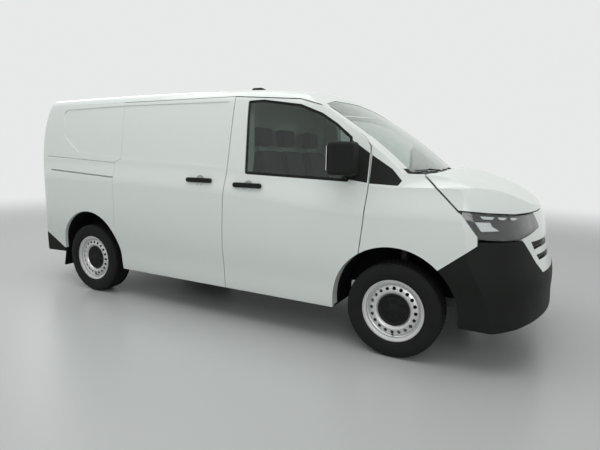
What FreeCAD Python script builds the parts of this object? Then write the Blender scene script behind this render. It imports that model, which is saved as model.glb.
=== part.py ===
import FreeCAD, Part
import math
import os

import Sketcher
from FreeCAD import Placement, Rotation, Vector

# A mid-size panel van, standing on its tyres.
# Millimetres, +X to the nose, +Y to the van's left, +Z up, the origin on the
# ground under the middle of the van's box.

DRIVING_SIZES = (
    ("BodyLength", 5050.0, "nose to rear bumper"),
    ("HalfWidth", 1012.0, "centre plane to the widest point of a body side"),
    ("RoofCrown", 1972.0, "highest point of the roof above the ground"),
    ("WheelBase", 3100.0, "front axle to rear axle"),
    ("FrontOverhang", 970.0, "front axle to the nose"),
    ("HalfTrack", 872.0, "centre plane to the middle of a tyre"),
    ("AxleHeight", 338.0, "wheel centre above the ground, tyre loaded"),
    ("TyreWidth", 215.0, "tyre section width"),
    ("TreadWidth", 176.0, "flat width of the tread"),
    ("BeadRadius", 203.0, "seat of the tyre on the rim"),
    ("FlangeRadius", 220.0, "outer radius of a rim flange"),
    ("RimWidth", 165.0, "width between the rim flanges"),
    ("RimWall", 4.0, "thickness of the pressed rim"),
    ("RimHoles", 20.0, "round holes in each wheel disc"),
    ("RimHoleRadius", 13.0, "radius of a wheel disc hole"),
    ("RimHoleCircle", 158.0, "radius of the circle of wheel disc holes"),
    ("CapRadius", 112.0, "radius of the wheel's centre cap"),
    ("WallDepth", 88.0, "thickness of a body side or door"),
    ("RoofDepth", 36.0, "thickness of the roof"),
    ("SkinDepth", 30.0, "thickness of a door's outer layer, wings and bumper"),
    ("RearWall", 64.0, "thickness of a rear door"),
    ("ShutGap", 8.0, "gap between a moving panel and its neighbour"),
    ("PillarGap", 14.0, "gap between a front door's frame and the windscreen pillar inside it"),
    ("PillarPost", 122.0, "depth of the windscreen pillar along X"),
    ("Seat", 0.3, "clearance between pieces that rest on each other"),
    ("GlassDepth", 5.0, "thickness of a window glass"),
    ("GlassInset", 3.0, "how far a glass lies inside the body surface"),
    ("SillBottom", 280.0, "underside of doors and body sides"),
    ("RoofJoint", 1857.0, "height of the joint between body sides and roof"),
    ("LoadFloor", 560.0, "top of the load floor"),
    ("CabFloor", 470.0, "top of the cab floor"),
    ("FloorDepth", 60.0, "thickness of the floor"),
    ("Bulkhead", 60.0, "front face of the bulkhead behind the seats, along X"),
    ("PillarLine", 140.0, "joint between front door and body side, along X"),
    ("SlideLine", -1105.0, "rear edge of the sliding door, along X"),
    ("FrontArch", 445.0, "radius of a front wheel arch"),
    ("RearArch", 420.0, "radius of a rear wheel arch"),
    ("KingPin", 800.0, "centre plane to a steering axis"),
    ("HouseInner", 560.0, "centre plane to the inner wall of a front wheel house"),
    ("ArchInner", 696.0, "centre plane to the inner wall of a rear wheel house"),
    ("ScreenHalf", 790.0, "half the width of the windscreen"),
    ("ScreenBow", 75.0, "how far the windscreen bows forward at its middle"),
    ("TrimDepth", 12.0, "thickness of the dark trim let into the body surface"),
    ("ColumnTilt", 50.0, "steering column's angle from upright"),
    ("DoorHingeX", 1240.0, "front door hinge axis, along X"),
    ("DoorHingeY", 992.0, "front door hinge axis, from the centre plane"),
    ("RearHingeX", -2430.0, "rear door hinge axis, along X"),
    ("RearHingeY", 812.0, "rear door hinge axis, from the centre plane"),
    ("RearDoorHalf", 778.0, "half the width of the two rear doors"),
    ("WheelHubY", 425.0, "steering wheel centre, from the centre plane"),
    ("WheelRing", 185.0, "radius of the steering wheel's ring"),
    ("RearSweep", 809.0, "reach of a rear door from its hinge axis to its free edge"),
    ("DashHalf", 828.0, "half the width of the dashboard"),
    ("SealWidth", 18.0, "width of the rubber frame round a door window"),
    ("GrooveWidth", 5.0, "width of the groove between fixed body panels"),
    ("PressingDepth", 6.0, "depth of the pressing in the upper body side"),
    ("BumperBottom", 298.0, "underside of the front bumper"),
    ("HingePin", 5.0, "radius of a door hinge pin"),
)

doc = FreeCAD.newDocument("PanelVan")
sheet = doc.addObject("Spreadsheet::Sheet", "Sizes")
for row, (alias, value, meaning) in enumerate(DRIVING_SIZES, start=1):
    sheet.set(f"A{row}", meaning)
    sheet.set(f"B{row}", str(value))
    sheet.setAlias(f"B{row}", alias)
doc.recompute()


def size(alias):
    """The number in the sheet cell with this alias."""
    return float(sheet.get(alias))


HALF_LENGTH = size("BodyLength") / 2
NOSE = HALF_LENGTH
TAIL = -HALF_LENGTH
FRONT_AXLE = NOSE - size("FrontOverhang")
REAR_AXLE = FRONT_AXLE - size("WheelBase")
HALF_WIDTH = size("HalfWidth")
CROWN = size("RoofCrown")
GAP = size("ShutGap")
REST = size("Seat")
WALL = size("WallDepth")
SKIN = size("SkinDepth")
SILL = size("SillBottom")
ROOF_JOINT = size("RoofJoint")
LOAD_FLOOR = size("LoadFloor")
CAB_FLOOR = size("CabFloor")
PILLAR = size("PillarLine")
SLIDE = size("SlideLine")
BULKHEAD = size("Bulkhead")
AXLE_HEIGHT = size("AxleHeight")
FAR = 4000.0
SIDES = (("left", 1), ("right", -1))

parts = {}


# Curves, outlines and prisms

def spline(points):
    """One smooth edge through the points."""
    curve = Part.BSplineCurve()
    curve.interpolate([Vector(*point) for point in points])
    return curve.toShape()


def line(start, end):
    """One straight edge."""
    return Part.makeLine(Vector(*start), Vector(*end))


def polygon(points):
    """A closed straight-sided wire."""
    corners = [Vector(*point) for point in points]
    return Part.makePolygon(corners + corners[:1])


def side_prism(outline, low, high):
    """An outline of (x, z) corners, drawn out along Y from low to high."""
    face = Part.Face(polygon([(x, low, z) for x, z in outline]))
    return face.extrude(Vector(0, high - low, 0))


def front_prism(outline, low, high):
    """An outline of (y, z) corners, drawn out along X from low to high."""
    face = Part.Face(polygon([(low, y, z) for y, z in outline]))
    return face.extrude(Vector(high - low, 0, 0))


def plan_prism(outline, low, high):
    """An outline of (x, y) corners, drawn out along Z from low to high."""
    face = Part.Face(polygon([(x, y, low) for x, y in outline]))
    return face.extrude(Vector(0, 0, high - low))


def box(low, high):
    """A box between two opposite corners."""
    spans = [b - a for a, b in zip(low, high)]
    return Part.makeBox(*spans, Vector(*low))


def bar(start, end, radius):
    """A round bar between two points."""
    base = Vector(*start)
    run = Vector(*end) - base
    return Part.makeCylinder(radius, run.Length, base, run)


def mirrored(shape):
    """The shape on the other side of the centre plane."""
    return shape.mirror(Vector(0, 0, 0), Vector(0, 1, 0))


def fuse_all(shapes):
    """One solid from shapes that meet."""
    result = shapes[0].multiFuse(shapes[1:])
    return result.removeSplitter()


# The body's outer surface
# It is what three lofts have in common: cross sections along the van, which
# give the sides and the roof, plan outlines one above the other, which give
# the nose and the tail, and side outlines across it, for screen and bonnet.

# Height above the ground and inset from the widest point, below the shoulder.
LOWER_SIDE = ((150, 92), (200, 82), (300, 54), (450, 37), (600, 12), (850, 0))
# The same from the shoulder line up: height over the shoulder, inset.
SHOULDER = ((-100, 2), (-25, 9), (45, 27), (125, 41))
# The side above it, and the cant up to the roof: depth below the roof, inset.
UPPER_SIDE = ((370, 87), (250, 107), (170, 122))
CANT = ((170, 122), (140, 128), (100, 142), (70, 168), (52, 212), (34, 312))
# Cross sections: distance along the van, shoulder height, roof below crown.
SECTIONS = (
    (-2700, 1195, 22), (-2000, 1193, 0), (-1200, 1186, -3), (-400, 1170, 2),
    (200, 1152, 10), (600, 1120, 34), (900, 1092, 80), (1250, 1070, 165),
    (1700, 1076, 300), (2200, 1085, 480), (2700, 1085, 640),
)
# Nose and tail on the centre plane: height, distance behind the foremost and
# before the rearmost point.
NOSE_LINE = (
    (150, 150), (230, 38), (340, 8), (475, 0), (590, 5), (660, 18), (750, 42),
    (830, 62), (920, 78), (1000, 105), (1090, 146), (1200, 225), (1400, 420),
    (2100, 1200),
)
TAIL_LINE = (
    (150, 90), (300, 60), (600, 52), (1000, 50), (1300, 60), (1550, 88),
    (1720, 135), (1850, 195), (1950, 280), (2100, 430),
)
NOSE_CORNER = (720.0, 1040.0, 2.7)
TAIL_CORNER = (500.0, 1034.0, 3.0)
CORNER_STEPS = 9
CORNER_END = 84.0
# Windscreen at its side edge: the line's place, slope and bend at this height.
SCREEN_HEIGHT = 1600.0
SCREEN_PLACE = 1203.5
SCREEN_SLOPE = -1.4528
SCREEN_BEND = -0.5926e-3
SCREEN_FOOT = 1262.0
SCREEN_HEIGHTS = (2140, 1980, 1840, 1700, 1560, 1420)
BONNET_LINE = (
    (1790, 1326), (1880, 1318), (1980, 1289), (2090, 1246), (2200, 1200), (2300, 1138), (2368, 1088),
)
LOFT_DEGREE = 3


def cross_section(station, side, top):
    """A closed section across the van, moved in by side and down by top."""
    x, shoulder, drop = station
    roof = CROWN - drop
    half = HALF_WIDTH - side
    lower = [(half - inset, height) for height, inset in LOWER_SIDE]
    waist = [(half - inset, shoulder + height) for height, inset in SHOULDER]
    upper = [(half - inset, roof - depth) for depth, inset in UPPER_SIDE]
    cant = [(half - inset, roof - depth - top) for depth, inset in CANT]
    upper[-1] = cant[0]
    lower.append(waist[0])
    upper.insert(0, waist[-1])
    runs = [lower, waist, upper, cant]
    left = [spline([(x, y, z) for y, z in run]) for run in runs]
    right = [spline([(x, -y, z) for y, z in run][::-1]) for run in reversed(runs)]
    edge_y, edge_z = cant[-1]
    ridge = [(x, edge_y, edge_z), (x, edge_y * 0.6, roof - top - 12),
             (x, 0, roof - top), (x, -edge_y * 0.6, roof - top - 12), (x, -edge_y, edge_z)]
    foot_y, foot_z = lower[0]
    base = line((x, -foot_y, foot_z), (x, foot_y, foot_z))
    return Part.Wire([base] + left + [spline(ridge)] + right)


def corner_curve(corner, shrink, end, direction):
    """Points of a blunt rounded end, from the left side round to the right."""
    depth, half, power = corner
    half -= shrink
    points = []
    for step in range(-CORNER_STEPS, CORNER_STEPS + 1):
        turn = math.radians(CORNER_END * step / CORNER_STEPS)
        across = math.copysign(abs(math.sin(turn)) ** (2 / power), -turn) * half
        along = depth * (1 - math.cos(turn) ** (2 / power))
        points.append((end - direction * along, across))
    return points


def plan_outline(height, side, front, rear):
    """A closed outline at one height, moved in by the three amounts."""
    nose = NOSE - front - interpolated(NOSE_LINE, height)
    tail = TAIL + rear + interpolated(TAIL_LINE, height)
    ahead = corner_curve(NOSE_CORNER, side, nose, 1)
    behind = corner_curve(TAIL_CORNER, side, tail, -1)[::-1]
    nose_edge = spline([(x, y, height) for x, y in ahead])
    tail_edge = spline([(x, y, height) for x, y in behind])
    right = line((*ahead[-1], height), (*behind[0], height))
    left = line((*behind[-1], height), (*ahead[0], height))
    return Part.Wire([nose_edge, right, tail_edge, left])


def even(low, high, count):
    """Evenly spaced numbers from low to high."""
    return [low + (high - low) * step / (count - 1) for step in range(count)]


def slope_at(table, index):
    """The slope of a smooth curve through a table, which never overshoots it."""
    if index in (0, len(table) - 1):
        return 0.0
    (x0, y0), (x1, y1), (x2, y2) = table[index - 1:index + 2]
    before = (y1 - y0) / (x1 - x0)
    after = (y2 - y1) / (x2 - x1)
    if before * after <= 0:
        return 0.0
    return 2 * before * after / (before + after)


def interpolated(table, place):
    """The value at a place on a smooth curve through (place, value) pairs."""
    if place <= table[0][0]:
        return table[0][1]
    for index in range(len(table) - 1):
        (x0, y0), (x1, y1) = table[index:index + 2]
        if place <= x1:
            span = x1 - x0
            share = (place - x0) / span
            rise = share * share * (3 - 2 * share)
            lead = share * (1 - share) ** 2 * slope_at(table, index) * span
            trail = share * share * (share - 1) * slope_at(table, index + 1) * span
            return y0 + (y1 - y0) * rise + lead + trail
    return table[-1][1]


def screen_line(height):
    """Where the windscreen's side edge lies along X at this height."""
    rise = height - SCREEN_HEIGHT
    return SCREEN_PLACE + SCREEN_SLOPE * rise + SCREEN_BEND * rise * rise


def smooth(value, low, high):
    """0 below low, 1 above high, and a smooth step between them."""
    share = min(max((value - low) / (high - low), 0.0), 1.0)
    return share * share * (3 - 2 * share)


def screen_x(height, across):
    """Where the windscreen surface lies along X."""
    bow = size("ScreenBow") * (1 - (across / size("ScreenHalf")) ** 2)
    return screen_line(height) + bow


def bonnet_z(x, z, across):
    """The bonnet's height at this distance from the centre plane."""
    share = abs(across) / 970.0
    edge = 62.0 * max(0.0, (abs(across) - 850.0) / 100.0) ** 2
    return z - 40.0 * share * share - edge * smooth(x, 1700.0, 1950.0)


def side_outline(across, front, top):
    """A closed side outline at one distance from the centre plane."""
    foot = SCREEN_FOOT + 26.0 * smooth(abs(across), 700.0, 850.0)
    heights = SCREEN_HEIGHTS + (foot,)
    screen = [(screen_x(height, across) - front * 1.4, across, height) for height in heights]
    bonnet = [(x - front * 0.3, across, bonnet_z(x, z, across) - top) for x, z in BONNET_LINE]
    low, high = 100.0, heights[0]
    rear, ahead = TAIL - 300.0, NOSE + 400.0
    fall = bonnet[-1][2] - 330.0
    edges = [
        line((rear, across, low), (rear, across, high)),
        line((rear, across, high), screen[0]),
        spline(screen),
        line(screen[-1], bonnet[0]),
        spline(bonnet),
        line(bonnet[-1], (ahead, across, fall)),
        line((ahead, across, fall), (ahead, across, low)),
        line((ahead, across, low), (rear, across, low)),
    ]
    return Part.Wire(edges)


def envelope(side=0.0, top=0.0, front=0.0, rear=0.0):
    """The solid inside the body's surface, moved in by these amounts."""
    shoulders = [(x, shoulder) for x, shoulder, drop in SECTIONS]
    drops = [(x, drop) for x, shoulder, drop in SECTIONS]
    sections = [cross_section((x, interpolated(shoulders, x), interpolated(drops, x)), side, top)
                for x in even(-2700.0, 2700.0, 13)]
    outlines = [plan_outline(z, side, front, rear) for z in even(150.0, 2100.0, 16)]
    profiles = [side_outline(y, front, top) for y in even(-1060.0, 1060.0, 15)]
    sides, plans, tops = [Part.makeLoft(wires, True, False, False, LOFT_DEGREE)
                          for wires in (sections, outlines, profiles)]
    return sides.common(plans).common(tops)


ROOF = size("RoofDepth")
REAR = size("RearWall")
TRIM = size("TrimDepth")
PANE = size("GlassInset")
PANE_BACK = PANE + size("GlassDepth")
BODY = envelope()
UNDER_SKIN = envelope(SKIN, SKIN, SKIN, SKIN)
SIDE_UNDER = envelope(SKIN, 0, 0, 0)
CAVITY = envelope(WALL, ROOF, WALL, REAR)
LINING = envelope(WALL + REST, ROOF + REST, WALL, REAR + GAP)
UNDER_TRIM = envelope(TRIM, TRIM, TRIM, TRIM)
TRIM_ROOM = envelope(TRIM + REST, TRIM + REST, TRIM + REST, TRIM + REST)
WALLS = BODY.cut(CAVITY)
OUTER_LAYER = BODY.cut(UNDER_SKIN)
INNER_LAYER = UNDER_SKIN.cut(CAVITY)
TRIM_LAYER = BODY.cut(UNDER_TRIM)
TRIM_SEAT = BODY.cut(TRIM_ROOM)
GLASS = envelope(PANE, PANE, PANE, PANE).cut(envelope(PANE_BACK, PANE_BACK, PANE_BACK - 1.0, PANE_BACK))
PRESSING_LAYER = BODY.cut(envelope(size("PressingDepth"), 0, 0, 0))


def shifted(shape, back, inward, down=0.0):
    """A copy of a shape, moved towards the tail, the right side and the ground."""
    moved = shape.copy()
    moved.translate(Vector(-back, -inward, -down))
    return moved


LINER_ROOM = shifted(UNDER_SKIN, 0.0, REST)


# Joints between the panels, on the body side, as (x, z) corners

PILLAR_TOP = (PILLAR + 26.0, ROOF_JOINT)
PILLAR_BELT = (PILLAR + 6.0, 1278.0)
PILLAR_WAIST = (PILLAR - 14.0, 1009.0)
PILLAR_FOOT = (PILLAR - 28.0, SILL)
DOOR_CROWN = ((757.0, 1815.0), (954.0, 1759.0), (1132.0, 1659.0), (1276.0, 1546.0), (1340.0, 1467.0))
DOOR_FRONT = ((1346.0, 1202.0), (1330.0, 944.0), (1307.0, 734.0), (1290.0, 640.0))
SLIDE_UPPER = (SLIDE + 13.0, 1335.0)
SLIDE_JOG = (SLIDE - 55.0, 1306.0)
BONNET_CUT = ((1700.0, 1303.0), (1831.0, 1185.0), (1956.0, 1069.0))
LIP_HEIGHT = 1050.0
BUMPER_CUT = ((1830.0, 660.0), (2076.0, 858.0), (2072.0, 913.0))


def arch_cut(axle, centre, radius, inner):
    """What a wheel arch takes out of the body on the left side."""
    drum = Part.makeCylinder(radius, FAR, Vector(axle, inner, centre), Vector(0, 1, 0))
    below = box((axle - radius, inner, 0), (axle + radius, inner + FAR, centre))
    return drum.fuse(below)


FRONT_CUT = arch_cut(FRONT_AXLE - 10.0, 350.0, size("FrontArch"), size("HouseInner"))
REAR_CUT = arch_cut(REAR_AXLE + 10.0, 395.0, size("RearArch"), size("ArchInner"))
HOUSE_MARGIN = 8.0
front_house = arch_cut(
    FRONT_AXLE - 10.0, 350.0, size("FrontArch") + HOUSE_MARGIN, size("HouseInner") - HOUSE_MARGIN)
rear_house = arch_cut(
    REAR_AXLE + 10.0, 395.0, size("RearArch") + HOUSE_MARGIN, size("ArchInner") - HOUSE_MARGIN)


def shrunk(outline, amount):
    """The (x, z) outline moved in all round by an amount."""
    wire = polygon([(x, 0, z) for x, z in outline])
    face = Part.Face(wire)
    return face.makeOffset2D(-amount)


PANEL_START = 760.0
DOOR_START = 800.0


def panel_prism(outline, inset, start=PANEL_START):
    """A prism on the left side, of an (x, z) outline moved in by inset."""
    face = shrunk(outline, inset)
    face.translate(Vector(0, start, 0))
    return face.extrude(Vector(0, FAR, 0))


DOOR_OUTLINE = (
    [PILLAR_TOP] + list(DOOR_CROWN) + list(DOOR_FRONT)
    + [(1290.0, SILL), PILLAR_FOOT, PILLAR_WAIST, PILLAR_BELT]
)
WINDOW_OUTLINE = (
    (336.0, 1262.0), (314.0, 1800.0), (440.0, 1803.0), (764.0, 1757.0),
    (940.0, 1690.0), (1063.0, 1614.0), (1180.0, 1522.0), (1180.0, 1236.0),
)
SAIL_OUTLINE = ((1186.0, 1517.0), (1334.0, 1420.0), (1334.0, 1217.0), (1186.0, 1235.0))
QUARTER_OUTLINE = ((1350.0, 1409.0), (1500.0, 1317.0), (1574.0, 1240.0), (1551.0, 1206.0), (1350.0, 1213.0))
SLIDE_OUTLINE = (
    (SLIDE + 2.0, ROOF_JOINT), PILLAR_TOP, PILLAR_BELT, PILLAR_WAIST, PILLAR_FOOT,
    (SLIDE - 50.0, SILL), SLIDE_JOG, SLIDE_UPPER,
)
HANDLE_HEIGHT = 1158.0
HANDLE_LENGTH = 264.0
HANDLE_HALF = 19.0
CUP_RADIUS = 62.0
CUP_DEPTH = 17.0


def handle(x, z, surface):
    """A pull handle that stands on the body's side, on the left."""
    half = HANDLE_LENGTH / 2
    grip = box((x - half, surface + 12, z - HANDLE_HALF), (x + half, surface + 32, z + HANDLE_HALF))
    ends = [edge for edge in grip.Edges if abs(edge.tangentAt(edge.FirstParameter).y) > 0.9]
    grip = grip.makeFillet(HANDLE_HALF - 2.0, ends)
    grip = grip.makeFillet(7.0, [edge for edge in grip.Edges if edge.CenterOfMass.y > surface + 31])
    feet = [box((x + end * (half - 24) - 13, surface - 22, z - 11),
                (x + end * (half - 24) + 13, surface + 18, z + 11)) for end in (-1, 1)]
    return fuse_all([grip] + feet)


def finger_cup(x, z, surface):
    """The bowl in the panel behind a pull handle, on the left."""
    return Part.makeSphere(CUP_RADIUS, Vector(x, surface + CUP_RADIUS - CUP_DEPTH, z + 4))


def groove(outline):
    """The groove along a joint between two fixed panels, on the left."""
    half = size("GrooveWidth") / 2
    around = panel_prism(outline, -half).cut(panel_prism(outline, half))
    return TRIM_LAYER.common(around)


PRESSING = (
    (-1925.0, 1543.0), (-1704.0, 1394.0), (-1098.0, 1345.0), (-244.0, 1313.0), (88.0, 1291.0),
    (104.0, 1819.0),
    (-1059.0, 1829.0), (-1930.0, 1815.0), (-1970.0, 1780.0),
)
PRESSING_CUT = PRESSING_LAYER.common(panel_prism(PRESSING, 0.0))
RAIL_LINE = ((-2094.0, 1218.0), (-2094.0, 1204.0), (SLIDE - 58.0, 1158.0), (SLIDE - 58.0, 1172.0))
SEAM_LINE = ((-2180.0, 1351.5), (-2180.0, 1346.5), (SLIDE - 56.0, 1298.5), (SLIDE - 56.0, 1303.5))


MIRROR_FOOT = 1024.0
MIRROR_ARM = ((900.0, 1262.0), (980.0, 1252.0), (MIRROR_FOOT - REST, 1274.0), (MIRROR_FOOT - REST, 1330.0),
              (900.0, 1330.0))
HINGE_HEIGHTS = (800.0, 1020.0)
HINGE_ROOM = 30.0
HINGE_LEAF = 24.0
ARM_INNER, ARM_OUTER = 884.0, 899.0
POST_REAR = 1352.0


def largest(shape):
    """The largest solid of a shape, in a list."""
    return sorted(shape.Solids, key=lambda solid: solid.Volume)[-1:]


def with_hinge_room(door):
    """The left front door with the pockets and bores of its two hinges."""
    x, y = size("DoorHingeX"), size("DoorHingeY")
    pin = size("HingePin")
    for z in HINGE_HEIGHTS:
        pocket = box((x - 22, 700, z - HINGE_ROOM), (x + 200, y + pin + 1.5, z + HINGE_ROOM))
        bore = bar((x, y, z - HINGE_ROOM - 26), (x, y, z + HINGE_ROOM + 26), pin + REST)
        door = door.cut(pocket).cut(bore)
    return door


def door_post():
    """The left door post: a pillar before the door, with the fixed arms and pins of its hinges."""
    x, y = size("DoorHingeX"), size("DoorHingeY")
    pin = size("HingePin")
    post = box((POST_REAR, size("DashHalf") + 5, 690), (POST_REAR + 98, 906, 1200))
    shapes = [post]
    for z in HINGE_HEIGHTS:
        low, high = z - HINGE_LEAF, z + HINGE_LEAF
        goose_neck = (
            (x - pin, y), (x - pin, ARM_INNER), (1360, ARM_INNER), (1360, ARM_OUTER), (x + pin, ARM_OUTER),
            (x + pin, y),
        )
        shapes.append(plan_prism(goose_neck, low, high))
        shapes.append(bar((x, y, z - HINGE_ROOM - 22), (x, y, z + HINGE_ROOM + 22), pin))
    return fuse_all(shapes)


def mirror_head():
    """The left outside mirror's housing."""
    outline = (
        (1092, MIRROR_FOOT), (1118, 1166), (1170, 1190), (1236, 1176), (1286, 1128), (1296, MIRROR_FOOT),
    )
    base = plan_prism(outline, 1268, 1492)
    soft = base.makeFillet(24.0, base.Edges)
    recess = plan_prism(((1080, 1034), (1096, 1150), (1124, 1168), (1124, 1034)), 1288, 1474)
    return soft.cut(recess)


def keep(name, shape):
    """Put a shape in the document under its own name."""
    solids = shape.Solids
    body = solids[0] if len(solids) == 1 else Part.makeCompound(solids)
    piece = doc.addObject("Part::Feature", name)
    piece.Label = name
    piece.Shape = body
    parts[name] = piece


def keep_pair(name, shape):
    """Keep a shape of the left side and its mirror image."""
    keep(f"{name}_left", shape)
    keep(f"{name}_right", mirrored(shape))


# Windscreen pillar: what lies behind the screen's edge, inside the door frame

POST_START = size("ScreenHalf") - 4.0
POST_FOOT = 1319.0
POST_TOP = 1842.0
POST_HEIGHTS = even(POST_FOOT, POST_TOP, 5)


def screen_band(back, ahead, heights):
    """An (x, z) outline along the screen's side edge."""
    rear = [(screen_line(z) - back, z) for z in heights]
    front = [(screen_line(z) + ahead, z) for z in reversed(heights)]
    return rear + front


POST_ZONE = panel_prism(screen_band(size("PillarPost"), 120.0, POST_HEIGHTS), 0.0, POST_START)
POST = SIDE_UNDER.cut(CAVITY).common(POST_ZONE)
# The front tip of an opening door swings past the pillar inside it, between these heights.
SWING_LOW, SWING_HIGH = 1400.0, 1560.0
SWING_REACH = 118.0
SWING_PLAY = 5.0


def hinge_round(radius):
    """The round room about the left front door's hinge axis, where its tip swings."""
    x, y = size("DoorHingeX"), size("DoorHingeY")
    return bar((x, y, SWING_LOW), (x, y, SWING_HIGH), radius)


def around_post(shape):
    """The door shape, clear of the pillar inside it and behind it."""
    back = Vector(-GAP * 1.4, 0, 0)
    out = Vector(0, size("PillarGap"), 0)
    for shift in (Vector(0, 0, 0), back, out, back + out):
        moved = POST.copy()
        moved.translate(shift)
        shape = shape.cut(moved)
    tip = box((size("DoorHingeX") + 40.0, DOOR_START - 100.0, SWING_LOW), (1400.0, 930.0, SWING_HIGH))
    return shape.cut(tip.cut(hinge_round(SWING_REACH)))


# Front doors

def front_door():
    """The left front door, its glass, its dark trim and its mirror."""
    outer = OUTER_LAYER.common(panel_prism(DOOR_OUTLINE, GAP / 2, DOOR_START))
    inner = INNER_LAYER.common(panel_prism(DOOR_OUTLINE, GAP / 2 + 16.0, DOOR_START))
    door = outer.fuse(inner).cut(FRONT_CUT)
    door = around_post(door).cut(panel_prism(WINDOW_OUTLINE, 0.0))
    door = door.cut(TRIM_SEAT.common(panel_prism(SAIL_OUTLINE, 0.0)))
    sail = TRIM_LAYER.common(panel_prism(SAIL_OUTLINE, REST))
    arm = front_prism(MIRROR_ARM, 1176, 1236).cut(BODY)
    door = door.cut(finger_cup(364.0, HANDLE_HEIGHT, 989.0))
    door = with_hinge_room(door)
    seal_room = TRIM_SEAT.common(panel_prism(WINDOW_OUTLINE, -size("SealWidth") - REST))
    door = door.cut(seal_room)
    seal = TRIM_LAYER.common(panel_prism(WINDOW_OUTLINE, -size("SealWidth")))
    seal = seal.cut(panel_prism(WINDOW_OUTLINE, 4.0))
    seal = seal.cut(panel_prism(SAIL_OUTLINE, -REST))
    seal = seal.cut(GLASS)
    grip = handle(364.0, HANDLE_HEIGHT, 989.0).cut(BODY)
    keep_pair("front_door", door)
    keep_pair("door_glass", GLASS.common(panel_prism(WINDOW_OUTLINE, REST)))
    keep_pair("door_trim", Part.makeCompound([fuse_all([sail, arm])] + largest(seal) + [grip]))
    keep_pair("mirror", mirror_head())


front_door()

# Body sides

REAR_OUTLINE = (
    (-size("RearDoorHalf"), 512.0), (-size("RearDoorHalf"), 1815.0), (-size("RearDoorHalf") + 60.0, 1872.0),
    (size("RearDoorHalf") - 60.0, 1872.0), (size("RearDoorHalf"), 1815.0), (size("RearDoorHalf"), 512.0),
)
REAR_FACE = Part.Face(polygon([(TAIL - 100, y, z) for y, z in REAR_OUTLINE]))
REAR_APERTURE = REAR_FACE.extrude(Vector(600, 0, 0))
LAMP_FRONT = -2262.0
LAMP_OUTLINE = ((-2540.0, 1376.0), (LAMP_FRONT, 1360.0), (LAMP_FRONT + 14.0, 890.0), (-2540.0, 876.0))
LAMP_INNER = size("RearDoorHalf") + 14.0
LAMP_PRISM = side_prism(LAMP_OUTLINE, LAMP_INNER, FAR)
BUMPER_TOP = 500.0


REAR_EDGE = [(TAIL - 100.0, SILL), (TAIL - 100.0, ROOF_JOINT)]
LEFT_OUTLINE = [PILLAR_TOP, PILLAR_BELT, PILLAR_WAIST, PILLAR_FOOT] + REAR_EDGE
RIGHT_OUTLINE = [SLIDE_OUTLINE[0], SLIDE_UPPER, SLIDE_JOG, (SLIDE - 50.0, SILL)] + REAR_EDGE
DOOR_ROOM = panel_prism(DOOR_OUTLINE, -GAP / 2)
BUMPER_LINE = ((-2290.0, BUMPER_TOP), (-2213.0, 552.0), (-1975.0, 402.0))
BUMPER_LOW = ((-1975.0, 360.0), (-2230.0, 352.0), (TAIL - 100.0, 352.0))
BUMPER_OUTLINE = ((TAIL - 100.0, BUMPER_TOP),) + BUMPER_LINE + BUMPER_LOW
BUMPER_ROOM = panel_prism(BUMPER_OUTLINE[:4] + ((-1975.0, 0.0), (TAIL - 100.0, 0.0)), -REST, 0.0)
FLAP_TOP = 402.0
FLAP_ROOM = box((-2040, 0, 0), (-1900, FAR, FLAP_TOP + REST))


def side_panel(outline):
    """A whole body side, drawn on the left, from its front edge to the rear door."""
    panel = WALLS.common(panel_prism(outline, REST / 2)).cut(DOOR_ROOM)
    panel = panel.cut(REAR_CUT).cut(REAR_APERTURE).cut(LAMP_PRISM)
    panel = panel.cut(rear_house.common(UNDER_SKIN))
    return panel.cut(BUMPER_ROOM).cut(FLAP_ROOM).cut(PRESSING_CUT)


keep("side_panel_left", side_panel(LEFT_OUTLINE))
slide_groove = groove(SLIDE_OUTLINE)
seam = TRIM_LAYER.common(panel_prism(SEAM_LINE, 0.0))
right_side = side_panel(RIGHT_OUTLINE).cut(slide_groove).cut(seam)
right_side = right_side.cut(OUTER_LAYER.common(panel_prism(RAIL_LINE, 0.0)))
keep("side_panel_right", mirrored(right_side))

sliding = WALLS.common(panel_prism(SLIDE_OUTLINE, REST / 2)).cut(DOOR_ROOM).cut(REAR_CUT)
sliding = sliding.cut(rear_house.common(UNDER_SKIN)).cut(slide_groove).cut(PRESSING_CUT)
sliding = sliding.cut(finger_cup(-121.0, HANDLE_HEIGHT + 22.0, 987.0))
keep("sliding_door", mirrored(sliding))
sliding_grip = handle(-121.0, HANDLE_HEIGHT + 22.0, 987.0).cut(BODY)
keep("sliding_handle", mirrored(sliding_grip))

lamp_face = shrunk(LAMP_OUTLINE, REST)
lamp_face.translate(Vector(0, LAMP_INNER + REST, 0))
rear_lamp = OUTER_LAYER.common(lamp_face.extrude(Vector(0, FAR, 0)))
keep("tail_lamps", Part.makeCompound([rear_lamp, mirrored(rear_lamp)]))


# Roof, windscreen frame, cowl

SCREEN_HALF = size("ScreenHalf")
SCREEN_TOP = (
    (-SCREEN_HALF + 30, 1786.0), (-500.0, 1836.0), (0.0, 1858.0), (500.0, 1836.0), (SCREEN_HALF - 30, 1786.0),
)
SCREEN_LOW = ((SCREEN_HALF, 1300.0), (500.0, 1276.0), (0.0, 1268.0), (-500.0, 1276.0), (-SCREEN_HALF, 1300.0))
SCREEN_OUTLINE = SCREEN_TOP + SCREEN_LOW
HEADER = 640.0
SCREEN_RISE = even(SCREEN_FOOT, 1900.0, 6)
SCREEN_SIDE = ((HEADER - 100.0, 1900.0), (HEADER - 100.0, SCREEN_FOOT)) + tuple(
    (screen_line(z) + size("ScreenBow") + 12.0, z) for z in SCREEN_RISE)
SCREEN_ZONE = side_prism(SCREEN_SIDE, -FAR, FAR)


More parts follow.
